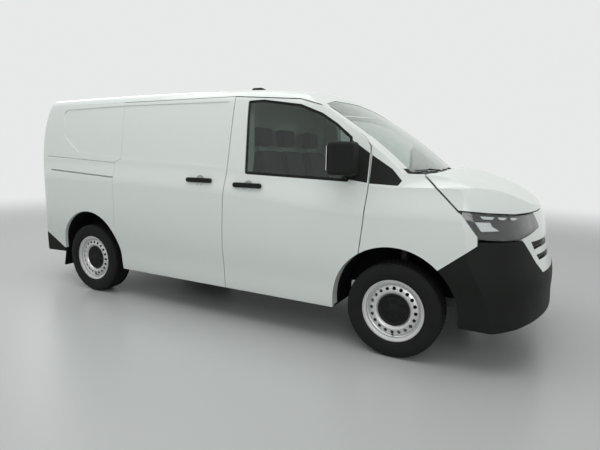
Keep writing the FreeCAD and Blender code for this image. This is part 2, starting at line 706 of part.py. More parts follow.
def screen_prism(inset):
    """The windscreen's outline, drawn out along X as far as the screen reaches."""
    face = Part.Face(polygon([(HEADER - 200, y, z) for y, z in SCREEN_OUTLINE]))
    return face.makeOffset2D(-inset).extrude(Vector(1400, 0, 0)).common(SCREEN_ZONE)


ROOF_FRONT = (HEADER, 1823.0)
RACK_TOP = 1952.0
RACK_HOLE = 4.0
RACK_POINTS = [(x, y) for x in (-1500.0, -200.0) for y in (-640.0, 640.0)]
ROOF_OUTLINE = (
    (TAIL - 100, ROOF_JOINT + REST), (PILLAR_TOP[0], ROOF_JOINT + REST), ROOF_FRONT,
    (HEADER, CROWN + 100), (TAIL - 100, CROWN + 100),
)
both_rooms = Part.makeCompound([DOOR_ROOM, mirrored(DOOR_ROOM)])
roof = WALLS.common(side_prism(ROOF_OUTLINE, -FAR, FAR)).cut(REAR_APERTURE).cut(both_rooms)
rack_pads = [bar((x, y, RACK_TOP - 30), (x, y, RACK_TOP), 16) for x, y in RACK_POINTS]
rack_holes = [bar((x, y, RACK_TOP - 22), (x, y, RACK_TOP + 1), RACK_HOLE) for x, y in RACK_POINTS]
roof = roof.cut(mirrored(slide_groove))
roof = roof.multiFuse(rack_pads).removeSplitter()
for hole in rack_holes:
    roof = roof.cut(hole)
keep("roof", roof)

FRAME_OUTLINE = (
    (HEADER + REST, CROWN + 100), (HEADER + REST, ROOF_FRONT[1]), *DOOR_CROWN,
    (1346.0, POST_FOOT), (1650.0, POST_FOOT), (1000.0, 1980.0),
)
frame = WALLS.common(side_prism(FRAME_OUTLINE, -FAR, FAR)).cut(screen_prism(0.0)).cut(both_rooms)
clear_post = POST.cut(hinge_round(SWING_REACH + SWING_PLAY))
posts = clear_post.fuse(mirrored(clear_post)).cut(screen_prism(0.0))
frame = frame.fuse(posts).removeSplitter()
quarter_seat = TRIM_SEAT.common(panel_prism(QUARTER_OUTLINE, 0.0))
frame = frame.cut(quarter_seat).cut(mirrored(quarter_seat))
keep("cab_frame", frame)
keep("windscreen", GLASS.common(screen_prism(REST)))

BONNET_REAR = ((1702.0, -1000.0), (1740.0, -800.0), (1776.0, -400.0), (1786.0, 0.0), (1776.0, 400.0),
               (1740.0, 800.0), (1702.0, 1000.0), (2700.0, 1000.0), (2700.0, -1000.0))
BONNET_SIDE = ((1600.0, 1600.0), (1600.0, 1393.0)) + BONNET_CUT + (
    (1990.0, LIP_HEIGHT), (2700.0, LIP_HEIGHT), (2700.0, 1600.0))
bonnet = OUTER_LAYER.common(side_prism(BONNET_SIDE, -FAR, FAR)).common(plan_prism(BONNET_REAR, 900, 1600))

COWL_HALF = 860.0
cowl_zone = box((1500, -COWL_HALF, 1180), (1800, COWL_HALF, 1400))
bonnet_room = plan_prism([(x - GAP, y) for x, y in BONNET_REAR], 900, 1600)
frame_room = box((HEADER, -FAR, POST_FOOT - REST), (1690, FAR, CROWN))
cowl = TRIM_LAYER.common(cowl_zone).cut(bonnet_room).cut(screen_prism(-REST)).cut(frame_room)
quarter = TRIM_LAYER.common(panel_prism(QUARTER_OUTLINE, REST))
keep("cowl", Part.makeCompound(cowl.Solids + quarter.Solids + mirrored(quarter).Solids))


# Wings, bumper, grille, headlamps

HEADLAMP_FACE = (
    (1030.0, 1069.0), (930.0, 1054.0), (770.0, 1042.0), (526.0, 1040.0), (507.0, 990.0), (493.0, 949.0),
    (672.0, 915.0), (769.0, 893.0), (854.0, 889.0), (948.0, 893.0), (1030.0, 909.0),
)
LAMP_SIDE = ((1956.0, 1069.0), (2072.0, 913.0), (2085.0, 880.0), (2700.0, 880.0), (2700.0, 1069.0))
LAMP_SIDE_ROOM = ((1956.0 - REST, 1090.0), (1956.0 - REST, 1069.0), (2072.0 - REST, 913.0),
                  (2085.0 - REST, 860.0), (2700.0, 860.0), (2700.0, 1090.0))
GRILLE_FACE = (
    (-526.0, 1046.0), (-507.0, 990.0), (-493.0, 949.0), (-672.0, 915.0), (-769.0, 891.0), (-700.0, 804.0),
    (-643.0, 726.0), (-570.0, 655.0), (570.0, 655.0), (643.0, 726.0), (700.0, 804.0), (769.0, 891.0),
    (672.0, 915.0), (493.0, 949.0), (507.0, 990.0), (526.0, 1046.0),
)


def inset_zone(face_outline, inset, start):
    """A (y, z) outline moved in by inset, drawn out along X to the nose."""
    face = Part.Face(polygon([(start, y, z) for y, z in face_outline]))
    return face.makeOffset2D(-inset).extrude(Vector(FAR, 0, 0))


lamp_seat = inset_zone(HEADLAMP_FACE, REST / 2, 1900).common(side_prism(LAMP_SIDE, 0, FAR))
lamp_room = inset_zone(HEADLAMP_FACE, -REST / 2, 1900)
lamp_rooms = Part.makeCompound([lamp_room, mirrored(lamp_room)])
LENS_BACK = shifted(BODY, 4.0, 2.5)
REFLECTOR_FACE = shifted(BODY, 8.0, 5.0)
HOUSING_FACE = shifted(BODY, 20.0, 12.0)
REFLECTORS = (
    ((952.0, 1041.0), (896.0, 1035.0), (910.0, 1020.0), (946.0, 1023.0)),
    ((880.0, 1034.0), (828.0, 1029.0), (850.0, 1015.0), (876.0, 1019.0)),
    ((806.0, 1028.0), (745.0, 1023.0), (774.0, 1011.0), (801.0, 1013.0)),
    ((975.0, 1004.0), (924.0, 1002.0), (921.0, 978.0), (894.0, 950.0), (964.0, 947.0)),
)
lamp_block = OUTER_LAYER.common(lamp_seat)
lens = largest(lamp_block.cut(LENS_BACK))[0]
lamp_rim = lamp_block.common(LENS_BACK).cut(inset_zone(HEADLAMP_FACE, 7.0, 1900))
reflector_zones = Part.makeCompound([inset_zone(face, 0.0, 1900) for face in REFLECTORS])
parts_of_lamp = [lamp_block.common(HOUSING_FACE), lamp_rim]
parts_of_lamp.append(lamp_block.common(REFLECTOR_FACE).common(reflector_zones))
lamp = largest(fuse_all([solid for piece in parts_of_lamp for solid in piece.Solids]))[0]
keep("headlamps", Part.makeCompound([lens, mirrored(lens), lamp, mirrored(lamp)]))
bonnet_clear = inset_zone(HEADLAMP_FACE, -GAP, 1900)
bonnet_shape = bonnet.cut(bonnet_clear).cut(mirrored(bonnet_clear))
keep("bonnet", bonnet_shape)

grille_box = box((2200, -FAR, 600), (FAR, FAR, LIP_HEIGHT - GAP))
SLOTS = (
    ((-672.0, 866.0), (-640.0, 812.0), (-560.0, 818.0), (560.0, 818.0), (640.0, 812.0), (672.0, 866.0)),
    ((-618.0, 776.0), (-584.0, 738.0), (584.0, 738.0), (618.0, 776.0)),
)
grille = OUTER_LAYER.common(inset_zone(GRILLE_FACE, REST / 2, 2200)).common(grille_box)
slot_zones = [inset_zone(slot, 0.0, 2200) for slot in SLOTS]
for zone in slot_zones:
    grille = grille.cut(zone)
keep("grille", grille)

WING_START = COWL_HALF + REST
WING_OUTLINE = [(1346.0, POST_FOOT - REST), (1690.0, POST_FOOT - REST)] + list(BONNET_CUT) + [
    (2072.0, 913.0), (2076.0, 858.0), (1830.0, 660.0), (1760.0, 600.0), (1307.0, 600.0)]
WING_OUTLINE += reversed(DOOR_FRONT[:3])
bonnet_gap = side_prism([(x - GAP, z - GAP) for x, z in BONNET_SIDE], 0, FAR)
wing = OUTER_LAYER.common(panel_prism(WING_OUTLINE, REST / 2, WING_START)).cut(FRONT_CUT).cut(DOOR_ROOM)
wing = wing.cut(lamp_room.common(side_prism(LAMP_SIDE_ROOM, 0, FAR))).cut(bonnet_gap)
wing = wing.cut(quarter_seat)
keep("wings", Part.makeCompound([wing, mirrored(wing)]))

BUMPER_SIDE = (
    (1780.0, size("BumperBottom")), (1780.0, 619.0 - REST), (2076.0, 858.0 - REST), (2076.0, 1000.0),
    (2700.0, 1000.0), (2700.0, 380.0), (2468.0, 356.0), (2330.0, 316.0), (2200.0, size("BumperBottom")),
)
bumper = OUTER_LAYER.common(side_prism(BUMPER_SIDE, -FAR, FAR))
bumper = bumper.cut(FRONT_CUT).cut(mirrored(FRONT_CUT)).cut(lamp_rooms)
bumper = bumper.cut(inset_zone(GRILLE_FACE, -REST / 2, 2200)).cut(box((1700, -FAR, 880), (FAR, FAR, FAR)))
BACKING_DEPTH = 6.0
backing_face = ((-700.0, 700.0), (-700.0, 900.0), (700.0, 900.0), (700.0, 700.0))
behind_skin = shifted(UNDER_SKIN, REST, 0.0).common(inset_zone(backing_face, 0.0, 2200))
backing = behind_skin.cut(shifted(UNDER_SKIN, BACKING_DEPTH, 0.0))
behind_fins = shifted(behind_skin, 1.0, 0.0)
fins = []
for slot, zone in zip(SLOTS, slot_zones):
    room = UNDER_TRIM.common(inset_zone(slot, REST, 2200)).cut(behind_fins)
    heights = [z for y, z in slot]
    middle = (min(heights) + max(heights)) / 2
    bars = [box((2200, -FAR, middle - 5), (FAR, FAR, middle + 1))]
    bars += [box((2200, y - 4, min(heights)), (FAR, y + 4, max(heights))) for y in even(-560.0, 560.0, 9)]
    fins.append(room.common(Part.makeCompound(bars)))
grille_back = largest(fuse_all([backing] + [solid for fin in fins for solid in fin.Solids]))[0]
keep("front_bumper", Part.makeCompound([bumper, grille_back]))

rear_bumper = OUTER_LAYER.common(side_prism(BUMPER_OUTLINE, -FAR, FAR))
step = box((TAIL, -740, SILL + 100), (TAIL + 140, 740, BUMPER_TOP - REST))
rear_bumper = rear_bumper.fuse(step).removeSplitter()
rear_bumper = rear_bumper.cut(REAR_CUT).cut(mirrored(REAR_CUT))
keep("rear_bumper", rear_bumper)


# Rear doors

rear_face = REAR_FACE.makeOffset2D(-GAP)
rear_zone = rear_face.extrude(Vector(600, 0, 0)).common(box((TAIL - 100, -FAR, 0), (-2150, FAR, FAR)))
rear_pair = WALLS.common(rear_zone)
HINGE_X, HINGE_Y = size("RearHingeX"), size("RearHingeY")
BARREL = 11.0
BARREL_HEIGHTS = (800.0, 1500.0)
reach = Part.makeCylinder(size("RearSweep"), FAR, Vector(HINGE_X, HINGE_Y, 0), Vector(0, 0, 1))


DOOR_STRAP = ((-6, 0), (5, 0), (27, -44), (60, -52), (60, -112), (4, -112), (-2, -77))
POST_STRAP = ((-7, 0), (6, -8), (60, -12), (80, 48), (64, 50), (12, 14))


def rear_hinge(z, low, high, strap):
    """One leaf of an outside hinge: a barrel from low to high and the strap to its panel."""
    barrel = bar((HINGE_X, HINGE_Y, z + low), (HINGE_X, HINGE_Y, z + high), BARREL)
    leaf = plan_prism([(HINGE_X + back, HINGE_Y + across) for back, across in strap], z + low, z + high)
    return barrel.fuse(leaf).removeSplitter()


rear_door = rear_pair.common(reach).common(box((-FAR, 0, 0), (0, FAR, FAR)))
rear_door = largest(rear_door)[0]
for hinge_z in BARREL_HEIGHTS:
    leaf = rear_hinge(hinge_z, -20.0, 20.0, DOOR_STRAP).cut(BODY)
    bore = bar((HINGE_X, HINGE_Y, hinge_z - 60), (HINGE_X, HINGE_Y, hinge_z + 60), size("HingePin") + REST)
    rear_door = rear_door.fuse(largest(leaf)[0]).cut(bore)
keep_pair("rear_door", rear_door.removeSplitter())
straps = []
for hinge_z in BARREL_HEIGHTS:
    for low, high in ((-40.0, -20.0 - REST), (20.0 + REST, 40.0)):
        straps.append(largest(rear_hinge(hinge_z, low, high, POST_STRAP).cut(BODY))[0])
pins = [bar((HINGE_X, HINGE_Y, z - 40), (HINGE_X, HINGE_Y, z + 40), size("HingePin")) for z in BARREL_HEIGHTS]
hinge_sets = [fuse_all(straps[index * 2:index * 2 + 2] + [pins[index]]) for index in range(len(pins))]
keep("rear_hinges", Part.makeCompound(hinge_sets + [mirrored(one) for one in hinge_sets]))


# Floor, bulkhead, wheel houses

FLOOR_DEPTH = size("FloorDepth")
FIRE_FOOT = (1440.0, 740.0)
FIRE_TOP = (1470.0, 1180.0)
FIRE_SLOPE = (FIRE_TOP[0] - FIRE_FOOT[0]) / (FIRE_TOP[1] - FIRE_FOOT[1])
BULKHEAD_REAR = BULKHEAD - 40.0
BULKHEAD_SEAT = LOAD_FLOOR - 4.0
FLOOR_OUTLINE = (
    (-2440.0, LOAD_FLOOR - FLOOR_DEPTH), (-2440.0, LOAD_FLOOR), (BULKHEAD_REAR - REST, LOAD_FLOOR),
    (BULKHEAD_REAR - REST, BULKHEAD_SEAT), (PILLAR + 40, BULKHEAD_SEAT), (PILLAR + 40, CAB_FLOOR),
    (1120.0, CAB_FLOOR), (1300.0, 600.0), FIRE_FOOT, FIRE_TOP,
    (1510.0, 1180.0), (1484.0, 720.0), (1330.0, 560.0), (1140.0, CAB_FLOOR - FLOOR_DEPTH),
    (PILLAR - 20, CAB_FLOOR - FLOOR_DEPTH), (PILLAR - 20, LOAD_FLOOR - FLOOR_DEPTH),
)
# Inside a front door nothing fixed comes nearer than this to the centre plane.
DOOR_INSIDE = 876.0
beside_door = box((PILLAR - 30, DOOR_INSIDE, 0), (1900, FAR, FAR))
LASH_POINTS = [(x, y) for x in (-2100.0, -300.0) for y in (-600.0, 600.0)]
LASH_HOLE = 5.0
LASH_DEPTH = 30.0
TOW_POINTS = [(x, y) for x in (-2340.0, -2160.0) for y in (-480.0, 480.0)]
TOW_HOLE = 6.0
TOW_DEPTH = 25.0
sills = [box((-1080, y - 25, SILL + 30), (1080, y + 25, LOAD_FLOOR - 90)) for y in (-830, 830)]
floor = fuse_all([side_prism(FLOOR_OUTLINE, -FAR, FAR)] + sills).common(LINING)
for room in (front_house, rear_house, beside_door):
    floor = floor.cut(room).cut(mirrored(room))
posts = door_post().cut(front_house)
floor = floor.multiFuse(largest(posts) + largest(mirrored(posts))).removeSplitter()
for x, y in LASH_POINTS:
    floor = floor.cut(bar((x, y, LOAD_FLOOR - LASH_DEPTH), (x, y, LOAD_FLOOR + 1), LASH_HOLE))
for x, y in TOW_POINTS:
    low = LOAD_FLOOR - FLOOR_DEPTH
    floor = floor.cut(bar((x, y, low - 1), (x, y, low + TOW_DEPTH), TOW_HOLE))
keep("floor", floor)

bulkhead = LINING.common(box((BULKHEAD_REAR, -FAR, BULKHEAD_SEAT + REST), (BULKHEAD, FAR, FAR)))
keep("bulkhead", bulkhead)

liners = []
flap_back = REAR_AXLE + 10.0 - size("RearArch") - HOUSE_MARGIN
FLAP = (
    (-2006.0, 208.0), (-1996.0, 208.0), (flap_back + HOUSE_MARGIN - 0.5, FLAP_TOP),
    (flap_back + 0.5, FLAP_TOP),
)
flap = side_prism(FLAP, 760, 962)
beside_hinge = box((PILLAR - 30, DOOR_INSIDE, 0), (1396, FAR, FAR))
for room, cut, beside in ((front_house, FRONT_CUT, beside_hinge), (rear_house, REAR_CUT, beside_door)):
    shell = room.cut(cut).common(LINER_ROOM).cut(beside)
    shell = shell.cut(box((-FAR, 0, 0), (FAR, FAR, FLAP_TOP)))
    if cut is REAR_CUT:
        shell = shell.fuse(flap)
    liners += [shell, mirrored(shell)]
keep("wheel_houses", Part.makeCompound(liners))


# Wheels

def origin_plane(body, role):
    """One of a body's own origin planes."""
    return next(item for item in body.Origin.OriginFeatures if item.Role == role)


def sketch_on(body, name, role, corners):
    """A closed sketch whose corners are pairs of expressions in the sheet's sizes."""
    sketch = body.newObject("Sketcher::SketchObject", name)
    sketch.AttachmentSupport = [(origin_plane(body, role), "")]
    sketch.MapMode = "FlatFace"
    values = [(evaluated(across), evaluated(up)) for across, up in corners]
    count = len(values)
    for index, (across, up) in enumerate(values):
        next_across, next_up = values[(index + 1) % count]
        sketch.addGeometry(Part.LineSegment(Vector(across, up, 0), Vector(next_across, next_up, 0)))
    for index in range(count):
        sketch.addConstraint(Sketcher.Constraint("Coincident", index, 2, (index + 1) % count, 1))
    for index, (across, up) in enumerate(corners):
        place = values[index]
        for kind, expression, value in (("DistanceX", across, place[0]), ("DistanceY", up, place[1])):
            number = sketch.addConstraint(Sketcher.Constraint(kind, -1, 1, index, 1, value))
            sketch.setExpression(f"Constraints[{number}]", expression)
    return sketch


def evaluated(expression):
    """The number an expression in the sheet's sizes gives."""
    return float(sheet.evalExpression(expression.replace("Sizes.", "")))


def revolved_body(name, corners):
    """A body turned about its own Y axis from corners of (radius, width)."""
    body = doc.addObject("PartDesign::Body", name)
    sketch = sketch_on(body, name + "_profile", "XY_Plane", corners)
    turned = body.newObject("PartDesign::Revolution", name + "_turned")
    turned.Profile = sketch
    turned.ReferenceAxis = (sketch, ["V_Axis"])
    turned.Angle = 360.0
    sketch.Visibility = False
    doc.recompute()
    return body


TYRE_CORNERS = (
    ("Sizes.BeadRadius + Sizes.Seat", "-Sizes.RimWidth / 2 + 8.5"),
    ("Sizes.FlangeRadius + Sizes.Seat", "-Sizes.RimWidth / 2 + 2.4"),
    ("Sizes.FlangeRadius + Sizes.Seat", "-Sizes.RimWidth / 2 - 14"),
    ("Sizes.FlangeRadius + 24", "-Sizes.TyreWidth / 2 + 4"),
    ("Sizes.FlangeRadius + 52", "-Sizes.TyreWidth / 2"),
    ("Sizes.AxleHeight - 34", "-Sizes.TyreWidth / 2 + 5"),
    ("Sizes.AxleHeight - 9", "-Sizes.TreadWidth / 2 - 5"),
    ("Sizes.AxleHeight", "-Sizes.TreadWidth / 2 + 14"),
    ("Sizes.AxleHeight", "Sizes.TreadWidth / 2 - 14"),
    ("Sizes.AxleHeight - 9", "Sizes.TreadWidth / 2 + 5"),
    ("Sizes.AxleHeight - 34", "Sizes.TyreWidth / 2 - 5"),
    ("Sizes.FlangeRadius + 52", "Sizes.TyreWidth / 2"),
    ("Sizes.FlangeRadius + 24", "Sizes.TyreWidth / 2 - 4"),
    ("Sizes.FlangeRadius + Sizes.Seat", "Sizes.RimWidth / 2 + 14"),
    ("Sizes.FlangeRadius + Sizes.Seat", "Sizes.RimWidth / 2 - 2.4"),
    ("Sizes.BeadRadius + Sizes.Seat", "Sizes.RimWidth / 2 - 8.5"),
)
RIM_CORNERS = (
    ("0", "60"), ("Sizes.CapRadius - 40", "60"), ("Sizes.CapRadius - 12", "56"), ("Sizes.CapRadius", "52"),
    ("Sizes.CapRadius + 12", "68"), ("Sizes.RimHoleCircle - 22", "74"), ("Sizes.RimHoleCircle + 2", "71"),
    ("Sizes.RimHoleCircle + 18", "62"), ("Sizes.BeadRadius - 20", "50"), ("Sizes.BeadRadius - 8", "60"),
    ("Sizes.BeadRadius - 5", "Sizes.RimWidth / 2 - 6"), ("Sizes.FlangeRadius - 7", "Sizes.RimWidth / 2"),
    ("Sizes.FlangeRadius - 6", "Sizes.RimWidth / 2 + 8"), ("Sizes.FlangeRadius", "Sizes.RimWidth / 2 + 8"),
    ("Sizes.FlangeRadius", "Sizes.RimWidth / 2 - 2"), ("Sizes.BeadRadius", "Sizes.RimWidth / 2 - 8"),
    ("Sizes.BeadRadius", "-Sizes.RimWidth / 2 + 8"), ("Sizes.FlangeRadius", "-Sizes.RimWidth / 2 + 2"),
    ("Sizes.FlangeRadius", "-Sizes.RimWidth / 2 - 8"), ("Sizes.FlangeRadius - 6", "-Sizes.RimWidth / 2 - 8"),
    ("Sizes.FlangeRadius - 6", "-Sizes.RimWidth / 2"), ("Sizes.BeadRadius - 6", "-Sizes.RimWidth / 2 + 8"),
    ("Sizes.BeadRadius - 10", "30"), ("Sizes.BeadRadius - 26", "46"), ("Sizes.RimHoleCircle + 14", "56"),
    ("Sizes.RimHoleCircle - 20", "68"), ("Sizes.CapRadius + 16", "62"), ("Sizes.CapRadius + 4", "44"),
    ("Sizes.CapRadius - 30", "34"), ("0", "34"),
)


def wheel(end, axle_x, name, side):
    """A tyre and its rim, standing on the ground."""
    turn = Rotation(Vector(0, 0, 1), 0 if side > 0 else 180)
    place = Placement(Vector(axle_x, side * size("HalfTrack"), AXLE_HEIGHT), turn)
    tyre = revolved_body(f"tyre_{end}_{name}", TYRE_CORNERS)
    rim = revolved_body(f"rim_{end}_{name}", RIM_CORNERS)
    hole = rim.newObject("Sketcher::SketchObject", f"rim_hole_{end}_{name}")
    hole.AttachmentSupport = [(origin_plane(rim, "XZ_Plane"), "")]
    hole.MapMode = "FlatFace"
    hole.addGeometry(Part.Circle(Vector(size("RimHoleCircle"), 0, 0), Vector(0, 0, 1), size("RimHoleRadius")))
    hole.addConstraint(Sketcher.Constraint("PointOnObject", 0, 3, -1))
    across = hole.addConstraint(Sketcher.Constraint("DistanceX", -1, 1, 0, 3, size("RimHoleCircle")))
    radius = hole.addConstraint(Sketcher.Constraint("Radius", 0, size("RimHoleRadius")))
    hole.setExpression(f"Constraints[{across}]", "Sizes.RimHoleCircle")
    hole.setExpression(f"Constraints[{radius}]", "Sizes.RimHoleRadius")
    pocket = rim.newObject("PartDesign::Pocket", f"rim_pocket_{end}_{name}")
    pocket.Profile = hole
    pocket.Type = "ThroughAll"
    pocket.Midplane = True
    pattern = rim.newObject("PartDesign::PolarPattern", f"rim_pattern_{end}_{name}")
    pattern.Originals = [pocket]
    pattern.Axis = (origin_axis(rim, "Y_Axis"), [""])
    pattern.Angle = 360.0
    pattern.setExpression("Occurrences", "Sizes.RimHoles")
    rim.Tip = pattern
    hole.Visibility = False
    for body in (tyre, rim):
        body.Label = body.Name
        body.Placement = place
        parts[body.Name] = body


def origin_axis(body, role):
    """One of a body's own origin axes."""
    return next(item for item in body.Origin.OriginFeatures if item.Role == role)


for wheel_side, wheel_sign in SIDES:
    wheel("front", FRONT_AXLE, wheel_side, wheel_sign)
    wheel("rear", REAR_AXLE, wheel_side, wheel_sign)


# Axles, knuckles, engine, underside

HUB_FACE = size("HalfTrack") + 34.0 - REST


PIN = size("KingPin")
JOINT_HEIGHT = 236.0


def knuckle():
    """The steered carrier of the left front wheel: hub, brake disc, clamp and strut."""
    hub = bar((FRONT_AXLE, 740, AXLE_HEIGHT), (FRONT_AXLE, HUB_FACE, AXLE_HEIGHT), 60)
    disc = bar((FRONT_AXLE, 836, AXLE_HEIGHT), (FRONT_AXLE, 858, AXLE_HEIGHT), 150)
    upright = box((FRONT_AXLE - 40, 690, JOINT_HEIGHT), (FRONT_AXLE + 40, 786, 520))
    foot = box((FRONT_AXLE - 28, 740, JOINT_HEIGHT), (FRONT_AXLE + 28, PIN + 24, 268))
    strut = bar((FRONT_AXLE, 716, 470), (FRONT_AXLE, 700, 782), 30)
    ear = box((FRONT_AXLE - 150, 700, 300), (FRONT_AXLE, 736, 330))
    caliper = box((FRONT_AXLE - 150, 816, 320), (FRONT_AXLE - 96, 872, 430))
    bridge = box((FRONT_AXLE - 130, 760, 340), (FRONT_AXLE - 20, 820, 420))
    return fuse_all([hub, disc, upright, foot, strut, ear, caliper, bridge])


keep_pair("knuckle", knuckle())

engine = box((1700, -430, 330), (2170, 360, 960))
engine = engine.makeFillet(40.0, engine.Edges)
keep("engine", engine)

subframe = [box((1420, -380, 240), (1540, 380, 310)), box((2180, -480, 270), (2260, 480, 360)),
            box((1420, -500, 290), (2260, -440, 360)), box((1420, 440, 290), (2260, 500, 360)),
            box((1500, -520, 250), (1620, 520, 300)),
            bar((FRONT_AXLE, -PIN, 214), (FRONT_AXLE, PIN, 214), 18)]
subframe += [bar((FRONT_AXLE, y, 200), (FRONT_AXLE, y, JOINT_HEIGHT - REST), 18) for y in (-PIN, PIN)]
subframe += [box((FRONT_AXLE - 18, y - 30, 214), (FRONT_AXLE + 18, y + 30, 260)) for y in (-480, 480)]
subframe += [box((1760, y - 40, 300), (1840, y + 40, 330 - REST)) for y in (-380, 300)]
subframe += [box((1420, y - 60, 300), (1840, y + 60, 325)) for y in (-380, 300)]
STOP_X, STOP_Y = 2240.0, 560.0
support = [box((2190, y - 25, 300), (2240, y + 25, 960)) for y in (-470, 470)]
support.append(box((2190, -STOP_Y - 30, 940), (2255, STOP_Y + 30, 975)))
bonnet_above = shifted(bonnet_shape, 0.0, 0.0, REST)
for y in (-STOP_Y, STOP_Y):
    stop = bar((STOP_X, y, 950), (STOP_X, y, 1300), 14).cut(bonnet_above)
    lowest = sorted(stop.Solids, key=lambda solid: solid.BoundBox.ZMin)[:1]
    support += lowest
keep("front_subframe", fuse_all(subframe + support))

beam = [bar((REAR_AXLE + 60, -760, 330), (REAR_AXLE + 60, 760, 330), 52)]
for y in (-700, 700):
    side_arm = bar((REAR_AXLE + 560, y * 0.86, 420), (REAR_AXLE, y, 330), 40)
    beam.append(side_arm)
    hub_end = math.copysign(HUB_FACE, y)
    beam.append(bar((REAR_AXLE, y * 0.9, AXLE_HEIGHT), (REAR_AXLE, hub_end, AXLE_HEIGHT), 60))
    inner, outer = math.copysign(790, y), math.copysign(820, y)
    beam.append(bar((REAR_AXLE, inner, AXLE_HEIGHT), (REAR_AXLE, outer, AXLE_HEIGHT), 150))
    beam.append(bar((REAR_AXLE + 90, y * 0.8, 330), (REAR_AXLE + 90, y * 0.8, 500 - REST), 55))
keep("rear_axle", fuse_all(beam))

tank = box((-900, -620, 270), (-100, 120, 500 - REST))
keep("fuel_tank", tank.makeFillet(50.0, [edge for edge in tank.Edges if edge.BoundBox.ZMax < 400]))
pipe = [bar((1700 - REST, -60, 420), (1640, -60, 420), 28), bar((1640, -60, 420), (1400, -60, 372), 28),
        bar((1400, -60, 372), (1180, 300, 340), 28),
        bar((1180, 300, 340), (-300, 300, 330), 28), bar((-1000, 330, 340), (-300, 300, 330), 28),
        bar((-600, 330, 330), (-150, 330, 330), 90)]
ELBOWS = ((1640, -60, 420), (1400, -60, 372), (1180, 300, 340), (-300, 300, 330))
elbows = [Part.makeSphere(28, Vector(*place)) for place in ELBOWS]
hanger = box((-400, 310, 400), (-360, 350, 500 - REST))
keep("exhaust", fuse_all(pipe + elbows + [hanger]))


# Cab fittings

TILT = math.radians(size("ColumnTilt"))
AXIS = Vector(-math.sin(TILT), 0, math.cos(TILT))
HUB = Vector(1000.0, size("WheelHubY"), 1130.0)
ACROSS = Vector(0, 1, 0)
DOWN = AXIS.cross(ACROSS)
BOSS_BACK = 60.0
DASH_LOW = 800.0
DASH_FRONT = [(FIRE_FOOT[0] + FIRE_SLOPE * (z - FIRE_FOOT[1]) - REST, z) for z in (FIRE_TOP[1], DASH_LOW)]
DASH_OUTLINE = [(1120, 1190), (1150, 1262), (1330, 1270), (1424, 1226)]
DASH_OUTLINE += DASH_FRONT + [(1300, DASH_LOW), (1180, 960)]
dash = side_prism(DASH_OUTLINE, -size("DashHalf"), size("DashHalf")).common(LINING)
column = Part.makeCylinder(32, 220, HUB - AXIS * (BOSS_BACK + REST), AXIS * -1)
dash = dash.fuse(column).removeSplitter()
dash = dash.cut(front_house).cut(mirrored(front_house))
keep("dashboard", dash)


def seat(low_y, high_y):
    """A seat with its base, cushion, back and head rests."""
    base = box((330, low_y + 60, CAB_FLOOR + REST), (760, high_y - 60, 760))
    cushion = box((290, low_y, 760), (820, high_y, 880))
    back = side_prism(((240, 800), (380, 880), (250, 1440), (150, 1430)), low_y, high_y)
    count = max(1, round((high_y - low_y) / 480))
    width = (high_y - low_y) / count
    rests = []
    for index in range(count):
        middle = low_y + width * (index + 0.5)
        head_rest = ((140, 1400), (230, 1400), (205, 1640), (120, 1640))
        rests.append(side_prism(head_rest, middle - 130, middle + 130))
    return fuse_all([base, cushion, back] + rests)


keep("driver_seat", seat(170, 680))
keep("passenger_bench", seat(-700, 120))

ring_radius = size("WheelRing")
ring = Part.makeTorus(ring_radius, 16, HUB, AXIS)
boss = Part.makeCylinder(60, BOSS_BACK - 5, HUB - AXIS * (BOSS_BACK - 5), AXIS)
neck = Part.makeCylinder(24, BOSS_BACK, HUB - AXIS * BOSS_BACK, AXIS)
spokes = [Part.makeCylinder(13, ring_radius, HUB, way) for way in (ACROSS, ACROSS * -1, DOWN)]
keep("steering_wheel", fuse_all([ring, boss, neck] + spokes))

POD = ((-262.0, CROWN - 30.0), (-252.0, CROWN + 80.0), (-236.0, CROWN + 90.0), (-150.0, CROWN + 90.0),
       (-86.0, CROWN + 58.0), (-40.0, CROWN - 30.0))
pod = side_prism(POD, -38.0, 38.0)
pod_rims = [edge for edge in pod.Edges if edge.CenterOfMass.z > CROWN and abs(edge.CenterOfMass.y) > 30]
pod = pod.makeFillet(16.0, pod_rims)
keep("antenna", pod.cut(BODY))


# Check every object, then write each piece to its own file

doc.recompute()
for item in doc.Objects:
    if "Invalid" in item.State or "Error" in item.State:
        raise RuntimeError(f"{item.Name} failed: {item.State}")
for name, piece in parts.items():
    if piece.Shape.isNull() or not piece.Shape.isValid():
        raise RuntimeError(f"{name} has no valid shape")
    if not piece.Shape.Solids:
        raise RuntimeError(f"{name} has no solid")

os.makedirs("parts", exist_ok=True)
for name, piece in parts.items():
    piece.Shape.exportStep(f"parts/{name}.step")
    box_of = piece.Shape.BoundBox
    print(name, len(piece.Shape.Solids), round(piece.Shape.Volume / 1e6, 2),
          [round(v) for v in (box_of.XMin, box_of.YMin, box_of.ZMin, box_of.XMax, box_of.YMax, box_of.ZMax)])
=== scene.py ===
"""The looks of the panel van: paint, trim, glass, lamps, tyres, seats and small fittings.

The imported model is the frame. It is loaded first and stays where it is. Every new piece rides on one of
its bodies. Sizes are in metres and angles in radians, with +X to the nose, +Y to the van's left and +Z up.
"""

from __future__ import annotations

import logging
import math
from collections.abc import Sequence
from dataclasses import dataclass
from enum import Enum

import bmesh
import bpy
from mathutils import Matrix, Vector
from mathutils.bvhtree import BVHTree
from mathutils.geometry import intersect_point_tri_2d


